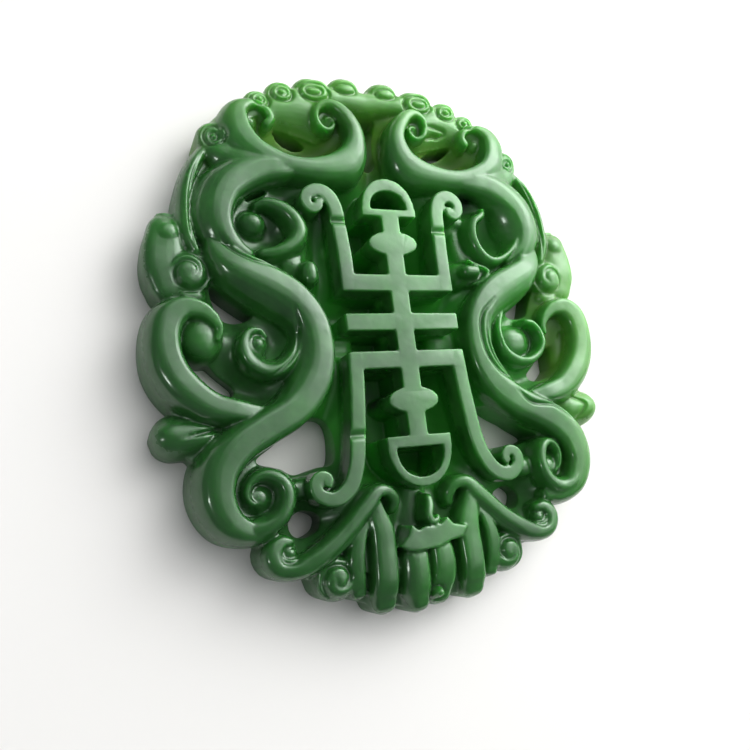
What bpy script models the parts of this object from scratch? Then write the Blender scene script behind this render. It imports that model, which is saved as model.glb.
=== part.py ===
"""Carved jade pendant: an openwork oval plaque, lying flat on its back.

Two serpent scrolls rise round a pierced fret and curl inward at the crown,
and a bat spreads its wings below the fret.  The plaque is one stone: every
carved band is a stroke swept over the flat back, and all strokes, knobs and
the ground between them are fused into a single solid.
X is the width, Y the height and Z the thickness, in metres.
"""
import math

import bmesh
import bpy
import numpy as np
from mathutils import Matrix

MM = 0.001
THICKNESS = 6.0          # from the flat back to the top of the fret, in mm
GROUND = 2.5             # height of the sunk ground between the bands
WELL_FLOOR = 1.7         # height of the floor round the fret
BELOW = -0.6             # strokes start below the back, which is then cut flat
STEP = 0.55              # spacing of sections along a stroke
SIDES = 20               # points round a stroke's section
VOXEL = 0.28             # grid that fuses the carved bands
FACES = 7400             # triangles kept on the carved bands
JADE = (0.05, 0.17, 0.06, 1.0)

# Strokes of the left half, repeated on the right:
# (edge height, section powers outside/inside, [(x, y, left, right, crest)]).
PAIRED = {
    "head": (3.2, 2.6, 3.6, [
        (-5.1, 21.2, .2, .2, 4.9), (-4.7, 21.5, .22, .22, 4.9), (-4.25, 21.2, .25, .25, 4.9),
        (-4.3, 20.5, .3, .3, 5.0), (-5.0, 20.1, .35, .3, 5.0), (-5.8, 20.5, .4, .35, 5.1),
        (-6.1, 21.4, .4, .35, 5.2), (-5.9, 22.2, .5, .4, 5.4), (-5.1, 22.7, .6, .5, 5.6),
        (-4.1, 22.5, .8, .65, 5.8), (-3.1, 21.5, 1.0, .8, 6.0), (-2.4, 20.1, 1.2, .9, 6.0),
        (-2.3, 18.8, 1.4, 1.2, 6.0), (-2.8, 17.5, 1.8, 1.4, 6.0), (-3.8, 16.6, 2.1, 1.4, 6.0),
        (-5.3, 16.0, 1.9, 1.2, 6.0), (-7.4, 15.7, 1.6, .9, 6.0), (-9.4, 15.8, 1.6, .85, 6.0),
        (-11.0, 16.4, 1.8, .8, 6.0), (-12.5, 17.3, 2.2, .8, 6.0), (-13.4, 18.6, 2.5, .8, 5.9),
        (-13.7, 20.2, 2.3, .7, 5.7), (-13.5, 21.3, 1.6, .6, 5.4), (-12.7, 22.0, .7, .5, 5.2),
        (-11.9, 22.0, .4, .4, 5.0), (-11.4, 21.4, .4, .4, 4.9), (-11.7, 20.7, .5, .5, 4.8)]),
    "neck": (2.4, 2.8, 2.1, [
        (-10.3, 15.4, 1.3, 1.0, 6.0), (-12.2, 15.2, 1.6, 2.0, 6.0), (-14.0, 14.2, 1.5, 3.0, 6.0),
        (-15.5, 12.6, 1.2, 3.4, 6.0), (-16.2, 10.5, 1.0, 3.3, 5.9), (-15.9, 8.8, .8, 2.6, 5.7),
        (-15.0, 7.6, .6, 1.4, 5.4), (-13.8, 6.9, .35, .5, 4.9)]),
    "body": (2.4, 3.2, 2.3, [
        (-17.3, 9.0, .4, .8, 4.6), (-16.6, 7.2, .6, 1.8, 5.4), (-15.3, 5.8, .7, 2.6, 5.9),
        (-13.4, 4.8, .9, 3.1, 6.0), (-11.3, 3.7, 1.0, 3.3, 6.0), (-9.6, 2.2, 1.1, 3.0, 6.0),
        (-8.5, .2, 1.2, 2.7, 6.0), (-8.2, -2.1, 1.2, 2.6, 6.0), (-8.6, -4.4, 1.3, 2.7, 6.0),
        (-9.8, -6.4, 1.5, 2.6, 6.0), (-11.7, -7.9, 1.7, 1.9, 6.0), (-14.2, -9.1, 1.8, 1.6, 6.0),
        (-16.3, -10.5, 1.6, 2.0, 6.0), (-17.7, -12.4, 1.2, 2.7, 5.9), (-18.1, -14.6, .9, 2.7, 5.8),
        (-17.4, -16.6, .8, 2.3, 5.6), (-15.8, -17.6, .6, 1.7, 5.2)]),
    "side_curl": (1.8, 2.6, 2.1, [
        (-17.5, -1.2, .3, .3, 4.6), (-17.2, -.2, .5, .4, 4.8), (-17.7, .8, .7, .6, 5.0),
        (-18.8, 1.6, .9, .9, 5.2), (-20.2, 1.7, 1.1, 1.3, 5.3), (-21.2, .8, 1.1, 2.2, 5.3),
        (-21.6, -1.1, 1.0, 2.4, 5.3), (-21.2, -3.3, 1.0, 2.6, 5.3), (-20.0, -5.2, 1.0, 2.6, 5.4),
        (-18.2, -6.7, .9, 2.3, 5.4), (-16.0, -7.4, .8, 1.6, 5.4), (-13.6, -7.7, .4, .8, 5.0)]),
    "cheek": (2.6, 2.4, 2.4, [
        (-12.0, 15.4, 1.8, 1.6, 5.9), (-13.8, 16.0, 2.2, 1.8, 5.7), (-15.4, 17.0, 2.0, 1.8, 5.0)]),
    "fin": (2.6, 2.0, 2.0, [
        (-16.6, 18.0, .5, .7, 3.8), (-18.0, 15.8, .5, 1.0, 4.5), (-18.9, 13.2, .4, 1.2, 4.7),
        (-19.2, 10.9, .4, 1.2, 4.7), (-19.1, 9.0, .4, 1.2, 4.7), (-18.6, 7.2, .4, .8, 4.5)]),
    "wing_arm": (2.6, 2.4, 2.6, [
        (-2.6, -17.4, .4, .4, 4.8), (-2.7, -16.6, .5, .5, 5.2), (-3.4, -15.9, .6, .6, 5.6),
        (-4.5, -15.8, .8, .8, 5.8), (-5.8, -16.9, 1.0, .9, 5.8), (-8.0, -19.0, 1.1, .9, 5.6),
        (-10.2, -20.5, 1.1, .9, 5.4), (-12.0, -21.2, 1.2, .9, 5.2), (-13.6, -20.9, 1.4, .7, 5.0),
        (-14.1, -19.9, 1.3, .6, 4.9), (-13.5, -19.1, .9, .5, 4.8), (-12.7, -19.1, .5, .5, 4.7)]),
    "crown": (1.8, 2.2, 2.2, [
        (.8, 24.4, 1.5, 1.2, 3.8), (-2.4, 24.6, 1.6, 1.3, 4.0), (-5.6, 24.4, 1.6, 1.2, 4.2),
        (-8.6, 23.7, 1.6, 1.2, 4.0), (-10.8, 22.6, 1.5, 1.3, 3.9), (-13.0, 21.6, 1.4, 1.3, 4.2),
        (-15.0, 19.9, 1.4, 1.5, 4.4), (-16.4, 18.0, 1.3, 1.4, 4.0)]),
    "panel": (2.4, 5.0, 5.0, [
        (-4.9, -17.4, .6, .5, 5.7), (-4.7, -19.0, .7, .7, 5.6), (-4.5, -20.8, 1.1, 1.0, 5.5),
        (-4.4, -22.6, 1.2, 1.15, 5.4), (-4.4, -24.3, 1.2, 1.2, 5.1), (-4.4, -25.5, 1.1, 1.1, 4.4)]),
    "feather": (2.4, 4.0, 4.0, [
        (-6.0, -18.8, .4, .4, 5.3), (-6.5, -20.6, .65, .7, 5.2), (-6.9, -22.6, .85, .8, 4.9),
        (-6.8, -24.5, .8, .8, 4.3)]),
    "head_floor": (2.6, 3.0, 5.0, [
        (-11.4, 21.8, 1.5, 1.4, 4.0), (-9.0, 21.9, 2.0, 1.6, 4.3), (-6.6, 21.4, 2.2, 1.8, 4.5),
        (-4.6, 20.4, 1.8, 1.8, 4.5)]),
    "web_waist": (1.0, 3.0, 3.0, [(-5.4, -1.6, 1.6, 1.6, 2.6), (-8.0, -1.6, 1.6, 1.6, 2.6)]),
    "web_eye": (1.0, 3.0, 3.0, [(-8.2, 11.6, 1.0, 1.0, 4.0), (-10.4, 11.0, 1.0, 1.0, 4.0)]),
    "web_leg": (1.0, 3.0, 3.0, [(-10.4, -14.6, 1.2, 1.2, 4.4), (-12.6, -14.9, 1.3, 1.3, 4.4)]),
}
# Bands that differ from side to side, because the two sides were cut freehand.
SINGLE = {
    "ring_left": (2.4, 2.6, 2.6, [
        (-17.4, -17.0, .5, 1.2, 4.9), (-15.4, -17.6, 1.0, 1.2, 5.4), (-13.6, -16.9, 1.0, 1.1, 5.7),
        (-12.8, -15.3, 1.0, 1.1, 5.8), (-13.2, -13.9, .9, 1.0, 5.7), (-14.6, -13.2, .8, .8, 5.4),
        (-15.9, -13.8, .6, .5, 5.1), (-16.2, -15.0, .5, .4, 4.9), (-15.5, -15.7, .4, .3, 4.7)]),
    "scroll_left": (2.0, 2.4, 2.0, [
        (-10.2, 1.6, .3, .4, 4.9), (-10.0, -.4, .5, .8, 5.1), (-10.5, -2.3, .7, .9, 5.2),
        (-11.8, -3.8, .9, 1.2, 5.2), (-13.4, -4.2, .8, 1.7, 5.1), (-14.9, -3.3, .7, 2.0, 5.0),
        (-15.4, -1.9, .6, 1.9, 5.0), (-14.9, -.6, .5, 1.2, 4.9), (-13.8, -.3, .4, .7, 4.8),
        (-13.2, -1.0, .3, .5, 4.7)]),
    "eye_left": (2.4, 2.4, 2.8, [
        (-13.1, 11.6, .4, .4, 4.9), (-12.1, 11.9, .8, .7, 5.2),
        (-10.8, 11.5, 1.0, .9, 5.5), (-9.6, 10.5, 1.1, 1.1, 5.7), (-9.1, 9.1, 1.2, 1.2, 5.7),
        (-9.8, 7.9, 1.1, 1.0, 5.6), (-11.2, 7.1, .9, .8, 5.4), (-12.8, 6.9, .7, .7, 5.0)]),
    "ring_right": (2.4, 2.6, 2.6, [
        (18.0, -15.6, .6, .8, 5.6), (17.1, -17.0, .8, 1.0, 5.7), (15.7, -17.3, .9, 1.2, 5.6),
        (14.3, -16.4, .8, 1.1, 5.6), (13.7, -14.6, .8, 1.1, 5.6), (14.2, -13.1, .7, .9, 5.5),
        (15.3, -12.7, .6, .6, 5.3), (16.2, -13.6, .6, .5, 5.1), (16.2, -15.0, .5, .4, 4.9),
        (15.6, -15.7, .4, .3, 4.7)]),
    "scroll_right": (2.0, 2.0, 2.4, [
        (10.4, 1.5, .4, .3, 4.9), (10.1, -.8, .8, .5, 5.1), (10.8, -2.9, .9, .7, 5.2),
        (12.4, -4.1, 1.2, .8, 5.2), (14.4, -4.3, 1.4, .8, 5.1), (15.9, -3.0, 1.2, .8, 5.0),
        (16.1, -1.2, 1.0, .7, 5.0), (15.2, 0.0, .7, .6, 4.9), (14.3, -.3, .5, .4, 4.8)]),
    "eye_right": (2.4, 2.4, 2.4, [
        (11.5, 11.7, .4, .4, 4.9), (10.2, 11.3, .7, .6, 5.4), (9.4, 9.7, .8, .8, 5.6),
        (9.6, 8.3, .8, .8, 5.6), (10.6, 7.0, .8, .8, 5.5), (12.2, 6.5, .8, .7, 5.4),
        (13.8, 7.0, .7, .6, 5.4), (15.2, 8.2, .5, .5, 5.4)]),
    "lobe_left": (2.4, 5.0, 4.0, [
        (-1.5, -22.0, 1.3, 1.3, 5.5), (-1.5, -23.3, 1.45, 1.5, 5.4), (-1.45, -24.7, 1.4, 1.4, 5.0),
        (-1.3, -25.9, 1.1, 1.1, 4.3)]),
    "lobe_right": (2.4, 4.0, 5.0, [
        (1.45, -21.8, 1.3, 1.3, 5.5), (1.45, -23.2, 1.45, 1.4, 5.4), (1.35, -24.6, 1.3, 1.3, 5.0),
        (1.1, -25.6, 1.0, 1.0, 4.3)]),
    "bat_horn": (3.0, 3.0, 3.0, [
        (.6, -16.6, .5, .5, 5.4), (.3, -17.5, .5, .5, 5.7), (.0, -18.4, .45, .45, 5.8),
        (.3, -19.0, .5, .4, 5.8), (.9, -18.9, .3, .3, 5.7)]),
    "web_bat": (1.0, 3.0, 3.0, [(0, -15.4, 1.6, 1.6, 3.4), (0, -19, 2.4, 2.4, 3.4)]),
}
# Oval knobs, repeated on the right: (x, y, half width, half height, crest).
KNOBS = {
    "crown_a": (-1.9, 25.3, 2.0, 1.7, 4.0), "crown_b": (-5.5, 24.7, 2.4, 1.7, 4.3),
    "crown_c": (-9.2, 23.9, 2.0, 1.8, 4.2), "crown_d": (-12.0, 22.4, 1.8, 1.5, 4.2),
    "shoulder": (-15.9, 18.8, 1.8, 1.8, 4.5), "ear": (-20.7, 9.4, 1.4, 1.3, 4.3),
    "side_knob": (-20.7, 6.4, 2.8, 3.4, 3.9), "side_eye": (-19.4, 5.3, 2.1, 2.1, 4.6),
    "side_top": (-20.4, 8.4, 2.0, 1.7, 4.0),
    "curl_core": (-19.0, -.7, 1.9, 2.0, 4.4), "scroll_core": (-13.9, -1.9, 1.7, 1.7, 4.2),
    "ring_core": (-15.1, -15.1, 1.7, 1.8, 4.6), "leaf": (-20.6, -9.2, 2.9, 2.0, 4.4),
    "bud": (-8.4, 5.4, 1.4, 1.0, 5.2), "brow": (-12.2, 20.6, 1.3, 1.1, 4.7),
    "eye_core": (-13.4, 10.1, 1.5, 1.5, 4.9), "arm_core": (-12.9, -20.0, 1.0, 1.0, 4.7),
    "wing_curl": (-8.9, -22.9, 2.1, 2.2, 4.8), "side_pad": (-18.6, 3.4, 2.4, 1.6, 3.4),
    "upright_eye": (-7.4, 12.1, 1.0, 1.0, 5.5),
}
# Plates of the bat: (crest, outline); the wing is repeated on the right.
BROW = (5.8, [(-3.1, -20.8), (-2.3, -20.0), (-1.8, -19.0), (-1.2, -19.6), (-.4, -19.3), (.4, -19.5),
              (1.2, -19.3), (1.9, -18.7), (2.4, -19.4), (3.9, -19.8), (3.3, -20.7), (2.0, -20.9),
              (.6, -21.3), (-1.2, -21.4), (-2.4, -21.3)])
WING = (4.5, [(-5.0, -16.6), (-8.0, -19.6), (-7.9, -21.4), (-7.0, -24.0), (-3.2, -25.6), (-3.0, -21.0)])
# Right half of the rim and of the well sunk round the fret; openings of the left half.
RIM = [
    (0, 25.6), (3.0, 25.5), (7.6, 24.9), (10.2, 23.8), (12.4, 22.3), (14.8, 21.0), (16.3, 19.0),
    (17.5, 16.6), (19.0, 13.0), (20.2, 10.8), (22.2, 9.4), (22.9, 6.4), (21.8, 3.4),
    (22.8, 1.0), (23.4, -1.6), (23.0, -4.0), (21.7, -7.0), (22.0, -9.6), (20.2, -11.6),
    (19.8, -13.4), (19.0, -16.2), (17.4, -17.9), (15.4, -18.8), (14.9, -21.0), (13.4, -21.9),
    (11.0, -22.6), (9.8, -23.9), (7.4, -24.9), (4.4, -25.8), (1.6, -26.3), (0, -26.4)]
WELL = [
    (0, 22.6), (1.8, 22.6), (.9, 21), (.6, 18.6), (1.2, 16.4), (2.4, 15.2), (5, 14.6), (8, 14.2),
    (12.5, 14.0), (15.0, 12.2), (15.4, 10), (14.6, 8.2), (12.6, 6.8), (10.6, 5.6), (8.4, 3.4),
    (7.3, .6), (7.1, -2.2), (7.6, -5), (8.6, -7.6), (8.6, -12.6), (9.2, -14.8), (8.2, -16.6),
    (4.2, -15.6), (2.6, -16.8), (0, -17.2)]
# Openings of the left half beyond the well, repeated on the right.
# Right half of the slot between the heads that the cord passes through.
CORD_SLOT = [(0, 23.5), (1.3, 23.3), (1.2, 22.0), (.8, 20.5), (.6, 18.8), (.7, 17.6), (0, 17.2)]
PIERCED = {
    "below_body": [(-8.0, -8.6), (-7.3, -9.8), (-7.6, -12.6), (-10.6, -12.6), (-14.6, -12.0),
                   (-12.8, -10.8), (-10.2, -8.8)],
    "above_arm": [(-11.0, -16.6), (-12.3, -17.4), (-12.0, -18.6), (-10.9, -19.0), (-9.6, -18.4),
                  (-9.4, -17.2)],
    "in_side_curl": [(-20.8, -2.0), (-20.4, -3.6), (-18.8, -5.4), (-16.6, -6.0), (-16.0, -5.4),
                     (-17.6, -4.2), (-18.8, -2.9), (-19.8, -1.8), (-20.4, -.6), (-20.9, -.8)],
    "above_scroll": [(-17.6, 4.2), (-16.0, 3.1), (-13.8, 1.6), (-14.8, 1.0), (-16.6, 1.3),
                     (-17.3, 2.6)],
    "in_head": [(-10.4, 20.9), (-9.4, 19.7), (-7.8, 19.1), (-6.6, 19.2), (-7.2, 20.1), (-8.8, 20.7)],
    "by_eye": [(-14.4, 12.2), (-13.8, 13.4), (-12.2, 14.3), (-10.6, 14.4), (-11.8, 13.3),
               (-13.2, 12.6)],
}

# Fret: square-edged bands standing at full height.
BAR = 1.7                # width of a bar
SPINE_TOP, SPINE_FOOT = 10.8, -11.3
SPINE = 0.95             # half width of the spine
LONG_BARS = {3.75: 5.75, -0.1: 5.9, -3.8: 5.95}      # height: half length
KNOPS = (7.8, -7.7)      # heights of the two oval knops on the spine
KNOP_HALF = (2.6, 1.25)
BAND = 1.5               # width of the upright and leg bands
# The four bands that end in curls, and the filled eyes of the curls: (x, y, radius).
CURLED = {
    "upright_left": [(-5.2, 3.1), (-5.2, 6.0), (-5.4, 9.0), (-5.6, 11.2), (-6.2, 12.5),
                     (-7.2, 13.0), (-8.1, 12.5), (-8.3, 11.7)],
    "upright_right": [(5.2, 3.1), (5.2, 6.0), (5.3, 9.0), (5.4, 11.3), (5.9, 12.7),
                      (6.9, 13.2), (7.7, 12.7), (7.9, 11.9)],
    "leg_left": [(-5.35, -3.1), (-5.5, -6.0), (-5.8, -9.0), (-6.1, -11.4), (-6.5, -13.4),
                 (-7.3, -15.1), (-8.7, -16.0), (-10.1, -15.6), (-10.5, -14.6)],
    "leg_right": [(5.35, -3.1), (5.5, -6.0), (5.8, -9.0), (6.1, -11.4), (6.7, -13.4),
                  (7.8, -15.0), (9.3, -15.5), (10.3, -14.7), (10.3, -13.8)],
}
CURL_EYES = [(-7.4, 11.9, 1.1), (7.0, 12.0, 1.1), (-9.7, -14.7, 1.1), (9.5, -14.1, 1.0)]
# Closed half ovals: base height, half width, rise and the band at sides, base and crest.
LOOP = (10.6, 2.9, 4.0, 0.95, 0.75, 1.3)
BOWL = (-11.05, 3.35, -4.75, 0.95, 1.05, 0.9)


def spline(points, step):
    """Points of a smooth path through rows of numbers, about one step apart."""
    rows = np.array(points, float)
    if len(rows) == 2:
        count = max(1, round(np.linalg.norm(rows[1, :2] - rows[0, :2]) / step))
        return np.linspace(rows[0], rows[1], count + 1)
    ends = np.vstack([2 * rows[0] - rows[1], rows, 2 * rows[-1] - rows[-2]])
    path = []
    for a, b, c, d in zip(ends, ends[1:], ends[2:], ends[3:]):
        count = max(1, round(np.linalg.norm(c[:2] - b[:2]) / step))
        for t in np.arange(count) / count:
            path.append(0.5 * (2 * b + (c - a) * t + (2 * a - 5 * b + 4 * c - d) * t ** 2
                               + (3 * b - a - 3 * c + d) * t ** 3))
    return np.array(path + [rows[-1]])


def ring_spline(points, per_span):
    """A closed smooth outline through the points."""
    rows = [np.array(p, float) for p in points]
    outline = []
    for i in range(len(rows)):
        a, b, c, d = rows[i - 1], rows[i], rows[(i + 1) % len(rows)], rows[(i + 2) % len(rows)]
        for t in np.arange(per_span) / per_span:
            outline.append(0.5 * (2 * b + (c - a) * t + (2 * a - 5 * b + 4 * c - d) * t ** 2
                                  + (3 * b - a - 3 * c + d) * t ** 3))
    return outline


def mirrored(points):
    """The same stroke on the other side: its left and right widths change places."""
    return [(-x, y, right, left, crest) for x, y, left, right, crest in points]


def whole(half):
    """A closed outline from its right half, top to bottom."""
    return half + [(-x, y) for x, y in reversed(half[1:-1])]


def add_faces(bm, sections):
    """Skin a row of closed sections and cap both ends."""
    rings = [[bm.verts.new([v * MM for v in point]) for point in ring] for ring in sections]
    for one, two in zip(rings, rings[1:]):
        for i in range(len(one)):
            j = (i + 1) % len(one)
            bm.faces.new((one[i], one[j], two[j], two[i]))
    bm.faces.new(reversed(rings[0]))
    bm.faces.new(rings[-1])


def add_stroke(bm, edge, power_left, power_right, points, square=False):
    """Sweep a carved band along a path; the band stands on the back."""
    path = spline(points, STEP)
    way = np.gradient(path[:, :2], axis=0)
    way /= np.linalg.norm(way, axis=1)[:, None]
    side = np.stack([-way[:, 1], way[:, 0]], axis=1)
    rows = [(p[:2], s, p[2], p[3], p[4]) for p, s in zip(path, side)]
    if not square:
        rows = rounded_end(rows[0], -way[0], edge)[::-1] + rows + rounded_end(rows[-1], way[-1], edge)
    sections = []
    for centre, across, left, right, crest in rows:
        if square:
            profile = [(left, BELOW), (left, crest), (-right, crest), (-right, BELOW)]
        else:
            profile = band_profile(edge, power_left, power_right, left, right, crest)
        sections.append([(*(centre + across * u), z) for u, z in profile])
    add_faces(bm, sections)


def rounded_end(row, way, edge):
    """Three shrinking sections that round off a band's end."""
    centre, across, left, right, crest = row
    reach = 0.5 * (left + right)
    rows = []
    for part in (0.5, 0.85, 1.0):
        shrink = math.sqrt(max(1 - part * part, 0.02))
        rows.append((centre + way * reach * part, across, left * shrink, right * shrink,
                     edge + (crest - edge) * (0.2 + 0.8 * shrink)))
    return rows


def band_profile(edge, power_left, power_right, left, right, crest):
    """Section of a band: a swollen top on walls that stand on the back."""
    profile = []
    for i in range(SIDES // 2 + 1):
        angle = math.pi * i / (SIDES // 2)
        power, width = (power_left, left) if angle < math.pi / 2 else (power_right, -right)
        u = width * abs(math.cos(angle)) ** (2 / power)
        profile.append((u, edge + (crest - edge) * math.sin(angle) ** (2 / power)))
    return profile + [(-right, BELOW), (left, BELOW)]


def add_lobe(bm, x, y, half_x, half_y, crest, edge=2.2, count=20, tiers=4):
    """An oval knob with a domed top."""
    tiers_at = [(1.0, BELOW), (1.0, edge)]
    for k in range(1, tiers):
        angle = k / tiers * math.pi / 2
        tiers_at.append((math.cos(angle) ** 0.9, edge + (crest - edge) * math.sin(angle) ** 0.9))
    tiers_at.append((0.05, crest))
    rings = []
    for scale, z in tiers_at:
        turn = [2 * math.pi * k / count for k in range(count)]
        rings.append([(x + half_x * scale * math.cos(a), y + half_y * scale * math.sin(a), z)
                      for a in turn])
    add_faces(bm, rings)


def add_slab(bm, outline, low, high):
    """An upright prism on a closed outline."""
    add_faces(bm, [[(x, y, low) for x, y in outline], [(x, y, high) for x, y in outline]])


def new_object(name, bm):
    """Close the mesh, turn its faces outward and put it in the scene."""
    bmesh.ops.recalc_face_normals(bm, faces=bm.faces)
    mesh = bpy.data.meshes.new(name)
    bm.to_mesh(mesh)
    bm.free()
    obj = bpy.data.objects.new(name, mesh)
    bpy.context.collection.objects.link(obj)
    return obj


def helper(obj):
    """A solid that only shapes the pendant."""
    obj.hide_render = True
    obj.display_type = "WIRE"
    return obj


def boolean(obj, other, operation, solver="EXACT"):
    """Add a Boolean modifier of one solid with another."""
    modifier = obj.modifiers.new(operation.title(), "BOOLEAN")
    modifier.operation = operation
    modifier.solver = solver
    modifier.object = other


def settle(obj):
    """Replace an object's mesh by what its modifiers make of it."""
    depsgraph = bpy.context.evaluated_depsgraph_get()
    mesh = bpy.data.meshes.new_from_object(obj.evaluated_get(depsgraph))
    obj.modifiers.clear()
    obj.data = mesh


def centre(obj):
    """Set the middle of the object's box over the origin."""
    points = np.array([v.co for v in obj.data.vertices])
    middle = (points.min(axis=0) + points.max(axis=0)) / 2
    obj.data.transform(Matrix.Translation((-middle[0], -middle[1], 0)))


def make_ground():
    """The sunk ground, deeper round the fret and pierced by the small openings."""
    openings = [ring_spline([(side * x, y) for x, y in outline], 3)
                for outline in PIERCED.values() for side in (1, -1)]
    openings.append(ring_spline(whole(CORD_SLOT), 3))
    levels = []
    for name, top, outlines in (("ground", GROUND, openings + [ring_spline(whole(WELL), 3)]),
                                ("floor", WELL_FLOOR, openings)):
        bm = bmesh.new()
        add_slab(bm, ring_spline(whole(RIM), 3), BELOW, top)
        levels.append(new_object(name, bm))
        for outline in outlines:
            bm = bmesh.new()
            add_slab(bm, outline, BELOW - 1, top + 1)
            boolean(levels[-1], helper(new_object("opening", bm)), "DIFFERENCE", "MANIFOLD")
        settle(levels[-1])
    for obj in [o for o in bpy.data.objects if o.name.startswith("opening")]:
        bpy.data.objects.remove(obj)
    return levels


def make_bands(levels):
    """All swollen bands and knobs, fused with the ground into one carved body."""
    bm = bmesh.new()
    for level in levels:
        bm.from_mesh(level.data)
        bpy.data.objects.remove(level)
    for edge, power_left, power_right, points in PAIRED.values():
        add_stroke(bm, edge, power_left, power_right, points)
        add_stroke(bm, edge, power_right, power_left, mirrored(points))
    for edge, power_left, power_right, points in SINGLE.values():
        add_stroke(bm, edge, power_left, power_right, points)
    for x, y, half_x, half_y, crest in KNOBS.values():
        for side in (1, -1):
            add_lobe(bm, side * x, y, half_x, half_y, crest)
    crest, outline = BROW
    add_slab(bm, outline, BELOW, crest)
    crest, outline = WING
    for side in (1, -1):
        add_slab(bm, [(side * x, y) for x, y in outline], BELOW, crest)
    bands = new_object("pendant", bm)
    fuse = bands.modifiers.new("Fuse", "REMESH")
    fuse.mode = "VOXEL"
    fuse.voxel_size = VOXEL * MM
    soften = bands.modifiers.new("Soften", "SMOOTH")
    soften.factor, soften.iterations = 0.5, 3
    settle(bands)
    thin = bands.modifiers.new("Thin", "DECIMATE")
    triangles = sum(len(face.vertices) - 2 for face in bands.data.polygons)
    thin.ratio = FACES / triangles
    settle(bands)
    return bands


def half_oval(base, half_width, rise):
    """Outline of a half oval standing on, or hanging from, its straight base."""
    arc = []
    for i in range(13):
        angle = math.pi * i / 12
        reach = math.sin(angle) ** 0.8 if 0 < i < 12 else 0.0
        arc.append((half_width * math.cos(angle), base + rise * reach))
    return arc


def make_fret():
    """The pierced fret at the middle, square-edged and flush on top."""
    parts = []

    def part(build, *args, **options):
        bm = bmesh.new()
        build(bm, *args, **options)
        parts.append(helper(new_object("fret_part", bm)))

    half = BAR / 2
    part(add_slab, [(-SPINE, SPINE_FOOT), (SPINE, SPINE_FOOT), (SPINE, SPINE_TOP),
                    (-SPINE, SPINE_TOP)], BELOW, THICKNESS)
    for y, reach in LONG_BARS.items():
        part(add_slab, [(-reach, y - half), (reach, y - half), (reach, y + half),
                        (-reach, y + half)], BELOW, THICKNESS)
    turns = [math.tau * (i + 0.5) / 20 for i in range(20)]
    for y in KNOPS:
        part(add_slab, [(KNOP_HALF[0] * math.cos(turn), y + KNOP_HALF[1] * math.sin(turn))
                        for turn in turns], BELOW, THICKNESS)
    for points in CURLED.values():
        rows = [(x, y, BAND / 2 * (1 - .3 * i / len(points)), BAND / 2 * (1 - .3 * i / len(points)),
                 THICKNESS) for i, (x, y) in enumerate(points)]
        part(add_stroke, 0, 0, 0, rows, square=True)
    for x, y, radius in CURL_EYES:
        part(add_slab, [(x + radius * math.cos(turn), y + radius * math.sin(turn))
                        for turn in turns[::2]], BELOW, THICKNESS)
    for base, half_width, rise, sides, foot, crest in (LOOP, BOWL):
        part(add_slab, half_oval(base, half_width, rise), BELOW, THICKNESS)
        bm = bmesh.new()
        up = math.copysign(1, rise)
        add_slab(bm, half_oval(base + up * foot, half_width - sides, rise - up * (foot + crest)),
                 BELOW - 1, THICKNESS + 1)
        hole = helper(new_object("hole", bm))
        boolean(parts[-1], hole, "DIFFERENCE")
        settle(parts[-1])
        bpy.data.objects.remove(hole)
    return parts


def main():
    for obj in list(bpy.data.objects):
        bpy.data.objects.remove(obj)
    pendant = make_bands(make_ground())
    for piece in make_fret():
        boolean(pendant, piece, "UNION")
    bm = bmesh.new()
    add_slab(bm, [(-30, -35), (30, -35), (30, 35), (-30, 35)], -5, 0)
    boolean(pendant, helper(new_object("below_back", bm)), "DIFFERENCE")
    settle(pendant)
    centre(pendant)
    for obj in [o for o in bpy.data.objects if o is not pendant]:
        bpy.data.objects.remove(obj)

    jade = bpy.data.materials.new("jade")
    jade.use_nodes = True
    shader = jade.node_tree.nodes["Principled BSDF"]
    shader.inputs["Base Color"].default_value = JADE
    shader.inputs["Roughness"].default_value = 0.15
    shader.inputs["Metallic"].default_value = 0.0
    pendant.data.materials.clear()
    pendant.data.materials.append(jade)
    pendant.data.shade_smooth()
    pendant.data.set_sharp_from_angle(angle=math.radians(40))


main()
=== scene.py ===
"""Carved jade pendant: the fine carving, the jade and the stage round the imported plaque.

The plaque is one stone.  Its serpents, curls, fret and bat are bands swept by one
Geometry Nodes tree over the sunk ground, fused into one skin, engraved with the
fine lines of the carving and finished in translucent green nephrite.
Tables are in millimetres: X is the width, Y the height, Z the rise off the back.
"""

import math

import bmesh
import bpy
import numpy as np
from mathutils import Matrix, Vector


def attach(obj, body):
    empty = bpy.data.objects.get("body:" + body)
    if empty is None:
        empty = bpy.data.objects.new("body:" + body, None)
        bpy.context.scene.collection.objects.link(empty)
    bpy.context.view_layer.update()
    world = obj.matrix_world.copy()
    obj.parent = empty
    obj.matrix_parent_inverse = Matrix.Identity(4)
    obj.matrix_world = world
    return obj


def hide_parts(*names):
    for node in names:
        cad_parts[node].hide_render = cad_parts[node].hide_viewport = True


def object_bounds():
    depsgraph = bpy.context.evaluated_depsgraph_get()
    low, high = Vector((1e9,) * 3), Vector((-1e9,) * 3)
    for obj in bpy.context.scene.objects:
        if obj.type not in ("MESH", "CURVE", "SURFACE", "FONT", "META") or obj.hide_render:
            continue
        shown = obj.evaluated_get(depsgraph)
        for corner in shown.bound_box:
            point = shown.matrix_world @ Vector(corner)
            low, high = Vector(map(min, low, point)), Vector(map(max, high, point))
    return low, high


bl_info = {
    "name": "Carved Jade Pendant",
    "version": (1, 0, 0),
    "blender": (4, 5, 0),
    "location": "View3D > Sidebar > Jade Pendant",
    "description": "Builds an openwork jade plaque with serpents, a fret and a bat",
    "category": "Object",
}

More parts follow.
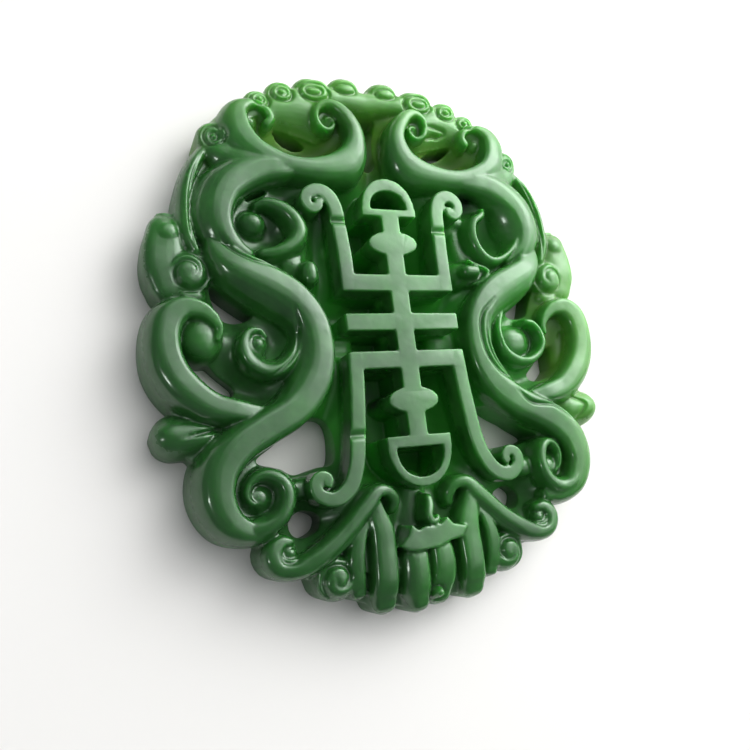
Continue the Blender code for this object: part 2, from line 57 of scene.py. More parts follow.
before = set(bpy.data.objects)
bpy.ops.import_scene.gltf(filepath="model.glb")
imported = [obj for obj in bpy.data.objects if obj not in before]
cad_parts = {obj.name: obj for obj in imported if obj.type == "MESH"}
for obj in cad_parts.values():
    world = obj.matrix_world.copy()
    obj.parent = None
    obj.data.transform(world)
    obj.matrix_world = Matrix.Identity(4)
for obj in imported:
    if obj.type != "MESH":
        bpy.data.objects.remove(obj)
CAD_BOX = [list(corner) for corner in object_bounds()]
MM = .001
TOP = round((CAD_BOX[1][2] - CAD_BOX[0][2]) / MM, 1)
FLOOR = -.6         # bands start below the back, then are cut flat
BACK_RIM = .03      # vertices below this height are on the back
SHARP = .6          # least angle of a sharp edge there, in radians
GROUND = 2.5
WELL_FLOOR = 1.7    # sunk floor of the oval well round the fret
WELL_HALF = (7.6, 14.5)
WELL_Y = -1
WELL_FADE = 1       # how far the well's rim is blurred
FEET_DROP = 1.2     # the ground sinks by this and rises with the bands' blurred height
FEET_SHARE = .45    # how much of that height it takes
FEET_SPREAD = .75   # how far the height is blurred
WALL_POWER = .3     # how upright a band's walls are below its edge height
KNOB_DEPTH = 2.2    # from a knob's crest down to its edge height
CLEAR = 10          # a height above everything
BOX_GAP = .001      # kept between the carving and its box
OUTLINE_CUTS = 5    # pieces between two points of a smooth outline
LINE_STEP = .08     # spacing of the points along a line
LINE_TIP = .15      # share of a line's depth at its tips
UPWARD = .15        # least upward part of a normal that is engraved

# A band is (edge height, power left, power right, [(x, y, left, right, crest), ...]):
# half widths left and right of its way, and the height of its crest.
# PAIRED bands are those of the left half, repeated on the right.
PAIRED = {
    "head": (3.2, 2.8, 4.2, [(-5.1, 21.2, .2, .2, 4.9), (-4.7, 21.5, .22, .22, 4.9),
      (-4.25, 21.2, .25, .25, 4.9), (-4.3, 20.5, .3, .3, 5), (-5, 20.1, .35, .3, 5),
      (-5.8, 20.5, .4, .35, 5.1), (-6.1, 21.4, .4, .35, 5.2), (-5.9, 22.2, .5, .4, 5.4),
      (-5.1, 22.7, .6, .5, 5.6), (-4.1, 22.5, .8, .65, 5.8), (-3.1, 21.5, 1, .8, 6),
      (-2.4, 20.1, 1.2, .9, 6), (-2.3, 18.8, 1.4, 1.2, 6), (-2.8, 17.5, 2, 1.4, 6),
      (-3.8, 16.6, 2.4, 1.4, 6), (-5.3, 16, 1.9, 1.2, 6), (-7.4, 15.7, 1.6, .9, 6),
      (-9.4, 15.8, 1.6, .85, 6), (-11, 16.4, 1.8, .8, 6), (-12.5, 17.3, 2.2, .8, 6),
      (-13.4, 18.6, 2.5, .8, 5.9), (-13.7, 20.2, 2.3, .7, 5.7), (-13.5, 21.3, 1.6, .6, 5.4),
      (-12.7, 22, .7, .5, 5.2), (-11.7, 22.1, .45, .45, 5.1), (-10.9, 21.5, .45, .45, 5),
      (-10.6, 20.8, .5, .5, 4.9), (-11.1, 20.2, .5, .5, 4.8)]),
    "neck": (2.4, 5.5, 2.1, [(-7.6, 15.3, .5, .4, 5.6), (-10.3, 15.3, 1.3, 1, 5.95),
      (-12.2, 15.2, 1.6, 2, 6), (-14, 14.2, 1.5, 3, 6), (-15.5, 12.6, 1.2, 3.4, 6),
      (-16.2, 10.5, 1, 3.3, 5.9), (-15.9, 8.8, .8, 2.6, 5.7), (-15, 7.6, .6, 1.4, 5.4),
      (-13.8, 6.9, .35, .5, 4.9)]),
    "body": (2.4, 8, 2.3, [(-17.3, 9, .4, .8, 4.6), (-16.6, 7.2, 1, 1.8, 5.4),
      (-15.3, 5.8, 1.2, 2.6, 5.9), (-13.4, 4.8, 1.3, 3.1, 6), (-11.3, 3.7, 1.3, 3.3, 6),
      (-9.6, 2.2, 1.2, 3, 6), (-8.5, .2, 1.2, 2.7, 6), (-8.2, -2.1, 1.2, 2.6, 6),
      (-8.6, -4.4, 1.3, 2.7, 6), (-9.8, -6.4, 1.5, 2.6, 6), (-11.7, -7.9, 1.7, 1.9, 6),
      (-14.2, -9.1, 1.8, 1.6, 6), (-16.3, -10.5, 1.6, 2, 6), (-17.7, -12.4, 1.2, 2.7, 5.9),
      (-18.1, -14.6, .9, 2.7, 5.8), (-17.4, -16.6, .8, 2.3, 5.6), (-15.8, -17.6, .6, 1.7, 5.2),
      (-14.2, -17.7, .4, 1, 4.7)]),
    "side_curl": (1.8, 7.5, 2.2, [(-17.5, -1.2, .3, .3, 4.6), (-17.2, -.2, .5, .4, 4.8),
      (-17.7, .8, .7, .6, 5), (-18.8, 1.6, .9, .9, 5.2), (-20.2, 1.7, 1.1, 1.3, 5.3),
      (-21.2, .8, 1.1, 2.2, 5.3), (-21.6, -1.1, 1, 2.4, 5.3), (-21.2, -3.3, 1, 2.6, 5.3),
      (-20, -5.2, 1, 2.6, 5.4), (-18.2, -6.7, .9, 2.3, 5.4), (-16, -7.4, .8, 1.6, 5.4),
      (-13.6, -7.7, .4, .8, 5)]),
    "side_plate": (1.8, 3, 4, [(-21, 9.2, 1.7, 1.8, 4.2), (-21.2, 7.6, 2.1, 2.1, 4.2),
      (-21.3, 5.8, 2.1, 2.1, 4.2), (-20.9, 4.3, 1.9, 2, 4)]),
    "cheek": (2.6, 2.4, 2.4, [(-12, 15.4, 1.8, 1.6, 5.9), (-13.8, 16, 2.2, 1.8, 5.7),
      (-15.4, 17, 2, 1.8, 5)]),
    "fin": (2.6, 2, 2, [(-16.6, 18, .5, .7, 3.8), (-18, 15.8, .5, 1, 4.5),
      (-18.9, 13.2, .4, 1.2, 4.7), (-19.2, 10.9, .4, 1.2, 4.7), (-19.1, 9, .4, 1.2, 4.7),
      (-18.6, 7.2, .4, .8, 4.5)]),
    "wing_arm": (2.6, 3.4, 3.4, [(-3, -17.5, .5, .6, 4.8), (-2.85, -16.7, .6, .75, 5.3),
      (-3.5, -15.9, .6, .8, 5.7), (-4.6, -15.8, .8, .9, 5.9), (-5.8, -16.9, 1.1, 1, 5.9),
      (-8, -19, 1.2, 1, 5.7), (-10.2, -20.5, 1.2, 1, 5.5), (-12, -21.2, 1.2, .9, 5.2),
      (-13.6, -20.9, 1.4, .7, 5), (-14.1, -19.9, 1.3, .6, 4.9), (-13.5, -19.1, .9, .5, 4.8),
      (-12.7, -19.1, .5, .5, 4.7)]),
    "crown": (2.4, 2.6, 2.4, [(.8, 24.4, 1.5, 1.2, 4.2), (-2.4, 24.6, 1.6, 1.3, 4.4),
      (-5.6, 24.3, 1.6, 1.2, 4.6), (-8.6, 23.6, 1.6, 1.2, 4.5), (-10.8, 22.6, 1.5, 1.3, 4.3),
      (-13, 21.6, 1.4, 1.3, 4.4), (-15, 19.9, 1.4, 1.5, 4.4), (-16.4, 18, 1.3, 1.4, 4)]),
    "panel": (2.4, 5, 5, [(-4.9, -16.8, .7, .7, 5.6), (-4.7, -18, 1, 1.1, 5.6),
      (-4.4, -19.2, 1.2, 1.3, 5.6), (-4.3, -20.5, 1.2, 1.4, 5.5), (-4.35, -22, 1.2, 1.4, 5.5),
      (-4.4, -23.5, 1.2, 1.4, 5.4), (-4.5, -24.7, 1.2, 1.4, 5), (-4.5, -25.4, 1.1, 1.3, 4.5)]),
    "feather": (2.4, 5, 5, [(-5.6, -18, .2, .2, 5.2), (-6, -18.9, .3, .5, 5.2),
      (-6.5, -19.9, .5, .9, 5.2), (-6.8, -21.1, .6, 1.1, 5.1), (-6.9, -22.3, .7, 1.1, 4.9),
      (-6.9, -23.4, .7, 1, 4.6), (-6.8, -24.3, .7, .8, 4.2)]),
    "head_floor": (3, 4, 1.8, [(-11.4, 22, .8, 1.6, 4.3), (-9.2, 22.8, .8, 2.5, 4.5),
      (-7, 22.8, .8, 2.8, 4.5), (-5.2, 22, .8, 2.6, 4.4)]),
    "web_cheek": (1, 3, 3, [(-8.8, 10, 1.2, 1.2, 3.6), (-9, 8, 1.3, 1.3, 3.8),
      (-9.8, 6.2, 1.7, 1.7, 4.3)]),
    "web_waist": (1, 3, 3, [(-5.4, -1.6, 1.6, 1.6, 2.6), (-8, -1.6, 1.6, 1.6, 2.6)]),
    "web_eye": (1, 3, 3, [(-8.2, 11.6, 1, 1, 4), (-10.4, 11, 1, 1, 4)]),
    "web_leg": (1, 3, 3, [(-10.4, -14.6, 1.2, 1.2, 4.4), (-12.6, -14.9, 1.3, 1.3, 4.4)]),
}
# How far the crest of a broad band lies towards its flank.
SHOULDERS = {"body": .5, "side_curl": .6, "neck": .4}
# How far the ends of a band stay open instead of closing to a round tip.
BLUNT_ENDS = {"panel": .2, "lobe_left": .2, "lobe_right": .2, "side_plate": .6}
# Bands of one side: the two sides were cut freehand.
SINGLE = {
    "ring_left": (2.4, 2.6, 2.6, [(-17.4, -17, .5, 1.2, 4.9), (-15.4, -17.6, 1, 1.2, 5.4),
      (-13.6, -16.9, 1, 1.1, 5.7), (-12.8, -15.3, 1, 1.1, 5.8), (-13.2, -13.9, .9, 1, 5.7),
      (-14.6, -13.2, .8, .8, 5.4), (-15.9, -13.8, .6, .5, 5.1), (-16.2, -15, .5, .4, 4.9),
      (-15.5, -15.7, .4, .3, 4.7)]),
    "scroll_left": (2, 2.4, 2, [(-10.2, 1.6, .3, .4, 4.9), (-10, -.4, .5, .8, 5.1),
      (-10.5, -2.3, .7, .9, 5.2), (-11.8, -3.8, .9, 1.2, 5.2), (-13.4, -4.2, .8, 1.7, 5.1),
      (-14.9, -3.3, .7, 2, 5), (-15.4, -1.9, .6, 1.9, 5), (-14.9, -.6, .5, 1.2, 4.9),
      (-13.8, -.3, .4, .7, 4.8), (-13.2, -1, .3, .5, 4.7)]),
    "eye_left": (2.4, 2.4, 2.8, [(-13.1, 11.6, .4, .4, 4.9), (-12.1, 11.9, .8, .7, 5.2),
      (-10.8, 11.5, 1, .9, 5.5), (-9.6, 10.5, 1.1, 1.1, 5.7), (-9.1, 9.1, 1.2, 1.2, 5.7),
      (-9.8, 7.9, 1.1, 1, 5.6), (-11.2, 7.1, .9, .8, 5.4), (-12.8, 6.9, .7, .7, 5)]),
    "ring_right": (2.4, 2.6, 2.6, [(18, -15.6, .6, .8, 5.6), (17.1, -17, .8, 1, 5.7),
      (15.7, -17.3, .9, 1.2, 5.6), (14.3, -16.4, .8, 1.1, 5.6), (13.7, -14.6, .8, 1.1, 5.6),
      (14.2, -13.1, .7, .9, 5.5), (15.3, -12.7, .6, .6, 5.3), (16.2, -13.6, .6, .5, 5.1),
      (16.2, -15, .5, .4, 4.9), (15.6, -15.7, .4, .3, 4.7)]),
    "scroll_right": (2, 2.4, 3, [(12.2, 1.2, .4, .4, 4.9), (11.5, -.2, .5, .5, 5.1),
      (11.4, -1.5, .5, .6, 5.2), (11.9, -2.9, .5, .8, 5.2), (13.1, -3.8, .5, .9, 5.2),
      (14.5, -4, .5, .8, 5.2), (15.9, -3.3, .5, .7, 5.1), (16.6, -2.2, .5, .6, 5.1),
      (16.5, -1, .5, .5, 5), (15.8, -.1, .5, .45, 5), (14.9, .1, .5, .45, 5)]),
    "eye_right": (2.4, 2.6, 2.8, [(11.6, 12.4, .4, .4, 5.2), (11.2, 11.7, .6, .6, 5.5),
      (10.2, 10.8, .4, .9, 5.6), (9.9, 9.5, .4, 1, 5.6), (10.2, 8.2, .4, 1, 5.6),
      (11, 7.2, .4, .9, 5.5), (12.1, 6.8, .45, .8, 5.4), (13.3, 7.2, .45, .6, 5.4),
      (14.5, 8.1, .5, .5, 5.4), (15.3, 9.2, .5, .5, 5.4)]),
    "bud_fold": (3, 2, 2, [(8.8, 6.7, .3, .3, 5.1), (9.9, 6.1, .3, .3, 5.3), (11, 5.5, .4, .4, 5.4),
      (10.1, 4.5, .3, .3, 5.3), (9, 4.1, .25, .25, 5)]),
    "web_bud": (1, 3, 3, [(8.2, 5.4, 1.7, 1.7, 4.6), (10.8, 5.4, 1.7, 1.7, 4.7)]),
    "curl_bowl": (1, 4, 4, [(20.4, 1, 2, 2.2, 3), (21.2, -1.5, 2.2, 2.2, 3),
      (20.6, -4.2, 2, 1.4, 2.9)]),
    "lobe_left": (2.4, 5, 2.8, [(-1.4, -22, 1.3, 1.75, 5.6), (-1.4, -23.3, 1.35, 1.8, 5.5),
      (-1.35, -24.7, 1.3, 1.7, 5.2), (-1.2, -25.9, 1, 1.2, 4.6)]),
    "lobe_right": (2.4, 4, 5, [(1.1, -21.6, 1.5, 1.15, 5.7), (1.2, -23, 1.6, 1.2, 5.6),
      (1.1, -24.4, 1.5, 1.15, 5.2), (.9, -25.5, 1.2, 1, 4.6)]),
    "neck_inside": (3.2, 2, 1.6, [(12.6, 14.5, .4, 1.4, 5.7), (14.2, 13.6, .5, 2, 5.8),
      (15.5, 12.1, .5, 2.4, 5.9), (16, 10.4, .5, 2.4, 5.8), (15.7, 8.9, .5, 2, 5.5),
      (14.9, 7.8, .4, 1.2, 5.1)]),
    "bat_horn": (3, 4, 4, [(.5, -16.7, .5, .5, 5.4), (.4, -17.5, .55, .5, 5.7),
      (.1, -18.4, .5, .5, 5.9), (.3, -19, .5, .4, 5.9), (.9, -18.9, .35, .35, 5.8),
      (1.1, -18.4, .25, .25, 5.6)]),
    "web_bat": (1, 3, 3, [(0, -15.4, 1.6, 1.6, 3.4), (0, -19, 2.4, 2.4, 3.4)]),
}
# Oval knobs, repeated on the right: (x, y, half width, half height, crest, power).
KNOBS = {
    "crown_a": (-2.2, 25.3, 1.9, 1.7, 4.6, 2.6), "crown_b": (-5.8, 24.5, 2.2, 1.7, 4.9, 3),
    "crown_c": (-9.2, 23.8, 1.7, 1.6, 4.8, 3), "crown_d": (-11.6, 22.8, 1.5, 1.4, 4.6, 3),
    "shoulder": (-16.1, 18.6, 1.8, 1.8, 4.6, 3), "ear": (-21, 9, 1.4, 1.3, 4.5, 2.6),
    "side_eye": (-19.4, 5.3, 2.1, 2.1, 4.8, 3.5), "side_pad": (-19.3, 3.2, 1.6, 1.2, 3.9, 2),
    "ring_core": (-15.1, -15.1, 1.7, 1.8, 4.6, 2), "leaf": (-20.6, -9.2, 2.9, 2, 4.4, 2),
    "brow": (-12.6, 20.6, 1, 1.1, 4.3, 2), "spiral": (-4.7, 21.2, 1.2, 1.2, 4.6, 2),
    "arm_core": (-12.9, -20, 1, 1, 4.7, 2), "wing_curl": (-8.8, -22.7, 2.1, 2.1, 4.9, 3),
    "upright_eye": (-7.4, 12.1, 1, 1, 5.5, 2),
}
# Knobs of one side.
LONE_KNOBS = {
    "curl_core": (-18.7, -.6, 1.9, 2.4, 4.4, 2.8), "eye_core": (-13.4, 10.1, 1.5, 1.5, 4.9, 2),
    "bud_left": (-8.5, 5, 1.1, 1.3, 5.6, 4), "bud_right": (8.8, 5.4, 1.3, .75, 5.8, 3),
    "scroll_core_left": (-14, -1.6, 1.1, 1.2, 4.9, 2),
    "scroll_core_right": (13.8, -1.8, 2.2, 1.9, 4.3, 3), "lobe_ball": (.5, -25.3, .8, .75, 5.4, 2),
}
# Fret: flat-topped bands that end in curls.
FRET_HALF = .74
FRET_BEVEL = .3
FRET_BANDS = {
    "upright_left": [(-5.2, 3.1), (-5.2, 6), (-5.4, 9), (-5.6, 11.2), (-6.2, 12.5), (-7.2, 13),
      (-8.2, 12.6), (-8.5, 11.8), (-8, 11.1), (-7.3, 11.3), (-7.2, 12)],
    "upright_right": [(5.2, 3.1), (5.2, 6), (5.3, 9), (5.4, 11.3), (5.9, 12.7), (6.9, 13.2),
      (7.8, 12.7), (8, 11.8), (7.5, 11.1), (6.9, 11.4), (6.9, 12)],
    "leg_left": [(-5.35, -3.1), (-5.5, -6), (-5.8, -9), (-6.1, -11.4), (-6.5, -13.4), (-7.3, -15.1),
      (-8.7, -16), (-10.1, -15.6), (-10.5, -14.6), (-9.9, -13.9), (-9.2, -14.2), (-9.4, -14.9)],
    "leg_right": [(5.35, -3.1), (5.5, -6), (5.8, -9), (6.1, -11.4), (6.7, -13.4), (7.8, -15),
      (9.3, -15.5), (10.4, -14.7), (10.4, -13.6), (9.6, -13.2), (9, -13.8), (9.4, -14.4)],
}
BAR_HALF = .85
SPINE_HALF = .95
FRET_BARS = {3.75: 5.85, -.1: 5.95, -3.8: 5.95}  # height: half length
KNOPS = (7.8, -7.7)  # heights of the oval knops on the spine
KNOP_HALF = (2.6, 1.25)
SPINE_ENDS = (-11.3, 10.8)
# Closed half ovals: base height, half width, rise, band at the sides, the base and the crest.
LOOP = (10.6, 2.9, 4, .95, .75, 1.3)
BOWL = (-11.05, 3.35, -4.75, .95, 1.05, .9)
# Plates of the bat: (crest, outline); the wing is repeated on the right.
BROW = (5.8, [(-3.1, -20.8), (-2.3, -20), (-1.8, -19), (-1.2, -19.6), (-.4, -19.3), (.4, -19.5),
    (1.2, -19.3), (1.9, -18.7), (2.4, -19.4), (3.9, -19.8), (3.3, -20.7), (2, -20.9), (.6, -21.3),
    (-1.2, -21.4), (-2.4, -21.3)])
WING = (4, [(-4.9, -16.8), (-7.2, -19.2), (-7.2, -20.8), (-6.8, -22.6), (-3.6, -23), (-3.6, -20.4),
    (-4.2, -18.6)])
# Right half of the rim.
RIM = [(0, 25.6), (3, 25.5), (7.6, 24.9), (10.2, 23.8), (12.4, 22.3), (14.8, 21), (16.3, 19),
    (17.5, 16.6), (19, 13), (20.2, 10.8), (22.2, 9.4), (22.9, 6.4), (21.8, 3.4), (22.8, 1),
    (23.4, -1.6), (23, -4), (21.7, -7), (22, -9.6), (20.2, -11.6), (19.8, -13.4), (19, -16.2),
    (17.4, -17.9), (15.4, -18.8), (14.9, -21), (13.4, -21.9), (11, -22.6), (9.8, -23.9),
    (7.4, -24.9), (4.4, -25.8), (1.6, -26.3), (0, -26.4)]
# Right half of the slot between the heads that the cord passes through.
CORD_SLOT = [(0, 23.5), (1.3, 23.3), (1.2, 22), (.8, 20.5), (.6, 18.8), (.7, 17.6), (0, 17.2)]
# Openings, repeated on the right.
PIERCED = {
    "below_body": [(-8, -8.4), (-7.2, -9.8), (-7.5, -12.6), (-9, -12.9), (-11.4, -13.4),
      (-12.6, -12.7), (-14.9, -12), (-13, -10.6), (-10.2, -8.6)],
    "above_arm": [(-11, -16.6), (-12.3, -17.4), (-12, -18.6), (-10.9, -19), (-9.6, -18.4),
      (-9.4, -17.2)],
    "in_side_curl": [(-20.8, -2), (-20.4, -3.6), (-18.8, -5.4), (-16.6, -6), (-15.9, -5.2),
      (-17.2, -3.9), (-18.4, -2.7), (-19.6, -1.8), (-20.4, -.6), (-20.9, -.8)],
    "above_scroll": [(-17.6, 4.2), (-16, 3.1), (-13.8, 1.6), (-14.8, 1), (-16.6, 1.3),
      (-17.3, 2.6)],
    "in_head": [(-10.4, 20.8), (-9.4, 19.8), (-7.8, 19.2), (-6.7, 19.3), (-7.3, 19.9),
      (-8.8, 20.4)],
    "by_eye": [(-14.4, 12.2), (-13.8, 13.4), (-12.2, 14.3), (-10.6, 14.4), (-11.8, 13.3),
      (-13.2, 12.6)],
}
# Engraved lines, repeated on the right: (half width, depth, lowest height, [(x, y), ...]).
LINES_PAIRED = {
    "fin": (.13, .28, 3.4, [(-17.6, 16.6), (-18.5, 14.4), (-19, 12), (-19.1, 9.4), (-18.8, 7.4)]),
    "side_eye": (.22, .34, 3.8, [(-20.7, 6.3), (-19.5, 6.9), (-18.2, 6.2), (-17.8, 5), (-18.4, 3.9),
      (-19.6, 3.6), (-20.6, 4.3), (-20.7, 5.4), (-19.9, 6.1), (-19, 5.9), (-18.7, 5.2),
      (-19.1, 4.6)]),
    "wing_curl": (.22, .35, 3.2, [(-7, -24), (-8.2, -24.7), (-9.6, -24.3), (-10.2, -23),
      (-9.6, -21.8), (-8.4, -21.7), (-7.8, -22.6), (-8.3, -23.4), (-9, -23.3), (-9.1, -22.7)]),
    "arm_core": (.2, .3, 3.8, [(-13.9, -19.9), (-13.5, -20.7), (-12.6, -20.8), (-12, -20.2),
      (-12.3, -19.5), (-12.9, -19.5)]),
    "arm_ridge": (.25, .25, 4.6, [(-5, -17.2), (-6.8, -18.9), (-8.6, -20.4), (-10.4, -21.5)]),
}
LINES_SINGLE = {
    "body_left": (.2, .35, 4, [(-16.9, 8.4), (-15.8, 6.9), (-14.1, 5.9), (-11.9, 5.3),
      (-9.4, 3.9)]),
    "body_left_2": (.15, .2, 4, [(-15.6, 7.3), (-14, 6.4), (-12, 5.8), (-10.2, 4.9)]),
    "body_left_in": (.16, .25, 3.6, [(-10.6, 1.6), (-10.3, -.7), (-10.8, -2.7), (-12.2, -4.1),
      (-13.8, -4.9)]),
    "leaf_left": (.2, .35, 3.4, [(-19.9, -8.2), (-17.9, -8.8), (-20.9, -9.5)]),
    "ring_left": (.2, .3, 4.2, [(-17, -15.6), (-16.2, -16.6), (-15, -16.8), (-13.9, -16),
      (-13.7, -15), (-14.3, -14.2)]),
    "body_right": (.2, .35, 4.4, [(10.7, 2.3), (9.1, .7), (8.6, -1.2), (9, -3.7), (10.4, -5.5),
      (12.4, -6.5)]),
    "body_right_2": (.15, .3, 4.4, [(9.7, .6), (9.3, -2.2), (10.2, -4.5), (11.9, -5.8),
      (13.4, -6.1)]),
    "body_right_3": (.12, .2, 4.4, [(9.9, .9), (9.9, -1.6), (10.8, -4), (12.4, -5.2)]),
    "body_right_low": (.18, .3, 4.4, [(11.7, -7.3), (13.4, -8.7), (15.9, -9.1), (17.4, -10.1),
      (18.3, -11.4)]),
    "notch_upright_left": (.32, .35, 5.4, [(-6.9, 9.9), (-4.1, 9.9)]),
    "notch_upright_right": (.32, .35, 5.4, [(4, 9.3), (6.7, 9.3)]),
    "notch_leg_left": (.32, .35, 5.4, [(-7.4, -10.6), (-4.6, -10.6)]),
    "eye_right_out": (.18, .3, 4.2, [(10.6, 5.9), (12.3, 5.8), (14.3, 6.7), (15.5, 7.8)]),
    "leaf_right": (.2, .35, 3.2, [(19, -7.8), (20.4, -8.4), (21.2, -9.2), (19.8, -10.8)]),
    "head_right_in": (.18, .3, 3.6, [(6.4, 22.1), (7.6, 22), (8.8, 21.7), (8.5, 21.3), (7, 21.3)]),
    "head_right_low": (.18, .3, 3.6, [(6.5, 20.9), (7.4, 21.1), (8.4, 21.1)]),
    "lobe_seam": (.13, .3, 4, [(.1, -21.8), (-.15, -22.6), (.05, -23.2), (-.1, -24), (0, -24.8)]),
    "lobe_ball": (.15, .35, 3.4, [(1.1, -25.3), (.9, -24.9), (.5, -24.7), (.1, -24.9), (-.1, -25.3),
      (.1, -25.7), (.5, -25.9), (.9, -25.7), (1.1, -25.3)]),
}
# Oval grooves, repeated on the right: (x, y, half width, half height).
RING_LINE = (.17, .3, 3)  # their half width, depth and lowest height
RINGS = {
    "crown_a": (-2.3, 25.2, 1.2, .55), "crown_b": (-5.9, 24.3, .85, .42),
    "crown_b_out": (-5.8, 24.3, 1.6, .9), "crown_c": (-9.2, 23.8, .5, .35),
    "crown_c_out": (-9.2, 23.8, 1.1, .85), "crown_d": (-11.5, 22.9, .4, .35),
    "crown_d_out": (-11.5, 22.8, .95, .85), "shoulder": (-16.2, 18.5, 1, 1),
    "shoulder_in": (-16.3, 18.4, .35, .35),
}
# Near-black spots in the stone's colour: (x, y, z, reach).
DARK_SPOTS = ((-3, -6.6, 2, 2.3), (10.3, 14.3, 3.4, 1.6))
JADE_COLORS = ("deep", "bright", "pale", "glow", "warm")
# The softbox is nested: (share of its side, glow) from its core out.
SOFTBOX_RINGS = ((.28, 5.2), (.48, 3.2), (.8, 1.3), (1.1, .9), (1.5, .7), (2.1, .38))
FLOOR_REACH = 1.2  # half a side of the stage floor, in metres


def between(a, b, c, d, t):
    """The smooth path through a, b, c and d, at a share t of the way from b to c."""
    return .5 * (2 * b + (c - a) * t + (2 * a - 5 * b + 4 * c - d) * t ** 2
                  + (3 * b - a - 3 * c + d) * t ** 3)


def spline(points, step):
    """Points of a smooth path through rows of numbers, about one step apart."""
    rows = np.array(points, float)
    ends = np.vstack([2 * rows[0] - rows[1], rows, 2 * rows[-1] - rows[-2]])
    path = []
    for a, b, c, d in zip(ends, ends[1:], ends[2:], ends[3:]):
        count = max(1, round(np.linalg.norm(c - b) / step))
        path += [between(a, b, c, d, t) for t in np.arange(count) / count]
    return np.array(path + [rows[-1]])


def ring_spline(points):
    """A closed smooth outline through the points."""
    rows = [np.array(p, float) for p in points]
    spans = zip(rows[-1:] + rows[:-1], rows, rows[1:] + rows[:1], rows[2:] + rows[:2])
    return [between(*span, t) for span in spans for t in np.arange(OUTLINE_CUTS) / OUTLINE_CUTS]


def both_sides(points):
    """The points as they are, and mirrored to the other side."""
    return [[(side * x, y) for x, y in points] for side in (1, -1)]


def mirrored(points):
    """The same band on the other side: its left and right widths change places."""
    return [(-x, y, right, left, crest) for x, y, left, right, crest in points]


def shouldered(points, shift):
    """The band with its crest moved to the right of its way and both edges kept."""
    rows = np.array(points, float)
    way = np.gradient(rows[:, :2], axis=0)
    way /= np.linalg.norm(way, axis=1)[:, None]
    shift = np.minimum(shift, rows[:, 3] * .5)
    rows[:, :2] += np.stack([way[:, 1], -way[:, 0]], axis=1) * shift[:, None]
    rows[:, 2] += shift
    rows[:, 3] -= shift
    return rows


def whole(half):
    """A closed outline from its right half, top to bottom."""
    return half + [(-x, y) for x, y in reversed(half[1:-1])]


def with_tips(points):
    """The band's points with a tip beyond each end, where its rounded end closes."""
    rows = np.array([points[0], *points, points[-1]], float)
    for tip, end, inner in ((0, 1, 2), (-1, -2, -3)):
        way = rows[end, :2] - rows[inner, :2]
        rows[tip, :2] += way / np.linalg.norm(way) * .5 * (rows[end, 2] + rows[end, 3])
    return rows


# ---- node helpers

class Wire:
    """An output of a node, with arithmetic that adds Math nodes to its tree."""

    def __init__(self, tree, socket):
        self.tree, self.socket = tree, socket

    def math(self, operation, *others, clamp=False):
        """This output, put through a Math node."""
        return wire(self.tree, "ShaderNodeMath", dict(enumerate((self, *others))),
                    operation=operation, use_clamp=clamp)

    def __add__(self, other):
        return self.math("ADD", other)

    def __sub__(self, other):
        return self.math("SUBTRACT", other)

    def __rsub__(self, number):
        return wire(self.tree, "ShaderNodeMath", {0: number, 1: self}, operation="SUBTRACT")

    def __mul__(self, other):
        return self.math("MULTIPLY", other)

    def __truediv__(self, other):
        return self.math("DIVIDE", other)

    def __rtruediv__(self, number):
        return wire(self.tree, "ShaderNodeMath", {0: number, 1: self}, operation="DIVIDE")


def add_node(tree, kind, links=None, **settings):
    """A node with its settings and its inputs, each a value or a wire."""
    node = tree.nodes.new(kind)
    for name, value in settings.items():
        setattr(node, name, value)
    for key, value in (links or {}).items():
        if isinstance(value, Wire):
            tree.links.new(value.socket, node.inputs[key])
        else:
            node.inputs[key].default_value = value
    return node


def wire(tree, kind, links=None, output=0, **settings):
    """One output of a new node."""
    return Wire(tree, add_node(tree, kind, links, **settings).outputs[output])


def vector_math(tree, operation, *inputs, output=0):
    """One output of a Vector Math node."""
    return wire(tree, "ShaderNodeVectorMath", dict(enumerate(inputs)), output, operation=operation)


def add_sockets(tree, in_out, rows):
    """Sockets of a node group: (name, kind) or (name, kind, default)."""
    for name, kind, *default in rows:
        socket = tree.interface.new_socket(name, in_out=in_out, socket_type="NodeSocket" + kind)
        for value in default:
            socket.default_value = value


def sources(tree):
    """The inputs of a node group by name."""
    return {socket.name: Wire(tree, socket) for socket in add_node(tree, "NodeGroupInput").outputs}


def choose(test, low, high):
    """low where the test is 0 and high where it is 1."""
    return high * test + (1.0 - test) * low


def ramp(value, start, end):
    """0 at the start and 1 at the end, both in millimetres."""
    span = end - start
    return value.math("MULTIPLY_ADD", 1 / (span * MM), -start / span, clamp=True)


